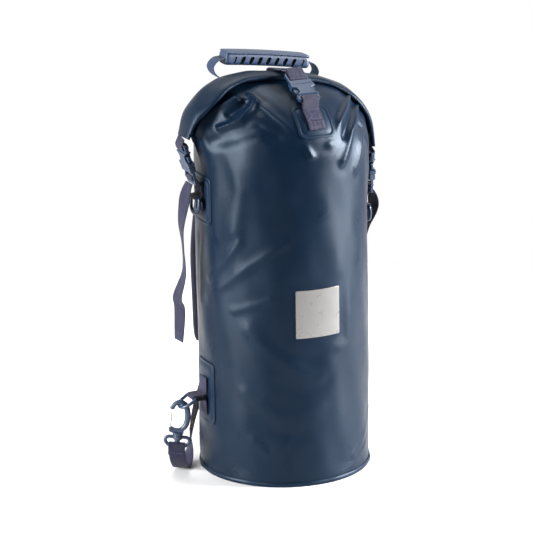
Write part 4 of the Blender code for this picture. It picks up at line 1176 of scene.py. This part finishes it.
bag_body()
base()
roll_shape()
front_closure()
handle()
side_closure("left", (-0.157, 0.000, 0.506), (-0.1405, 0.000, 0.447), 0, LEFT_TAIL)
side_closure("right", (0.1425, 0.000, 0.4632), (0.1405, 0.000, 0.4042), 0.044, RIGHT_TAIL)
lower_hook("left", 180, 114)
lower_hook("right", 26, 66)
for strap_side in ("left", "right"):
    shoulder_strap(strap_side)
welded_patch("shoulder_anchor_look", wall(90), 0.456, 0.150, 0.036, ["shoulder_anchor"])
welded_patch("seam_tape_look", wall(90), 0.220, 0.022, 0.420, ["back_seam_tape"], groove=False, corner=0.003,
             thickness=0.0006)
welded_patch("label_look", wall(-90), 0.265, 0.070, 0.072, ["front_label"], LABEL,
             corner=0.0015, groove=False, thickness=0.0005)

# ---------------------------------------------------------------- stage


def floor():
    rim = [(x, y, 0) for x, y in arc(0, 0, FLOOR_RADIUS, 0, 360, 96)[:-1]]
    made = mesh_object("floor", rim, [tuple(range(len(rim)))])
    made.data.materials.append(Shader("floor", FLOOR_WHITE, 0.8).material)


def light(name, place, target, size, power):
    lamp = bpy.data.lights.new(name, "AREA")
    lamp.shape = "RECTANGLE"
    lamp.size, lamp.size_y = size
    lamp.energy = power
    lamp.spread = math.radians(80)
    made = linked(bpy.data.objects.new(name, lamp))
    made.location = place
    made.rotation_euler = (Vector(target) - Vector(place)).to_track_quat("-Z", "Y").to_euler()


def camera():
    """Stands 3.9 m off, turned 24 degrees to the bag's left, with a slight roll."""
    eye = Vector((-1.5985, -3.5902, 1.46))
    ahead = Vector((0.38489, 0.87862, -0.28263)).normalized()
    right = ahead.cross(Vector((0, 0, 1))).normalized()
    up = right.cross(ahead)
    lean = math.radians(0.8)
    level = right * math.cos(lean) - up * math.sin(lean)
    top = up * math.cos(lean) + right * math.sin(lean)
    data = bpy.data.cameras.new("camera")
    data.sensor_width = SENSOR_WIDTH
    data.lens = SENSOR_WIDTH * CAMERA_REACH
    made = linked(bpy.data.objects.new("camera", data))
    turned = Matrix((level, top, -ahead)).transposed().to_4x4()
    made.matrix_world = Matrix.Translation(eye) @ turned
    bpy.context.scene.camera = made


def light_world():
    """A white studio, darker towards -Y in reflections so that the coated fabric keeps its depth."""
    world = bpy.context.scene.world or bpy.data.worlds.new("world")
    bpy.context.scene.world = world
    world.use_nodes = True
    tree = world.node_tree
    background = tree.nodes["Background"]
    background.inputs["Color"].default_value = (1, 1, 1, 1)
    split = tree.nodes.new("ShaderNodeSeparateXYZ")
    place = tree.nodes.new("ShaderNodeTexCoord")
    tree.links.new(place.outputs["Generated"], split.inputs[0])
    scale = tree.nodes.new("ShaderNodeMapRange")
    for socket, value in (("From Min", -0.8), ("From Max", 0.7), ("To Min", 0.22), ("To Max", 0.95)):
        scale.inputs[socket].default_value = value
    tree.links.new(split.outputs["Y"], scale.inputs["Value"])
    seen = tree.nodes.new("ShaderNodeLightPath")
    brighter = tree.nodes.new("ShaderNodeMix")
    brighter.data_type = "FLOAT"
    brighter.inputs[3].default_value = 1.0
    tree.links.new(seen.outputs["Is Camera Ray"], brighter.inputs[0])
    tree.links.new(scale.outputs["Result"], brighter.inputs[2])
    tree.links.new(brighter.outputs[0], background.inputs["Strength"])


floor()
light("key", (-2.9, -0.15, 0.95), (0, 0, 0.50), (1.0, 1.5), 62)
light("fill", (2.5, -1.25, 0.95), (0, 0, 0.50), (0.7, 1.5), 112)
light("top", (0.1, 0.9, 2.8), (0, 0, 0.3), (1.8, 1.4), 12)
camera()
light_world()
bpy.context.scene.view_settings.view_transform = "Standard"
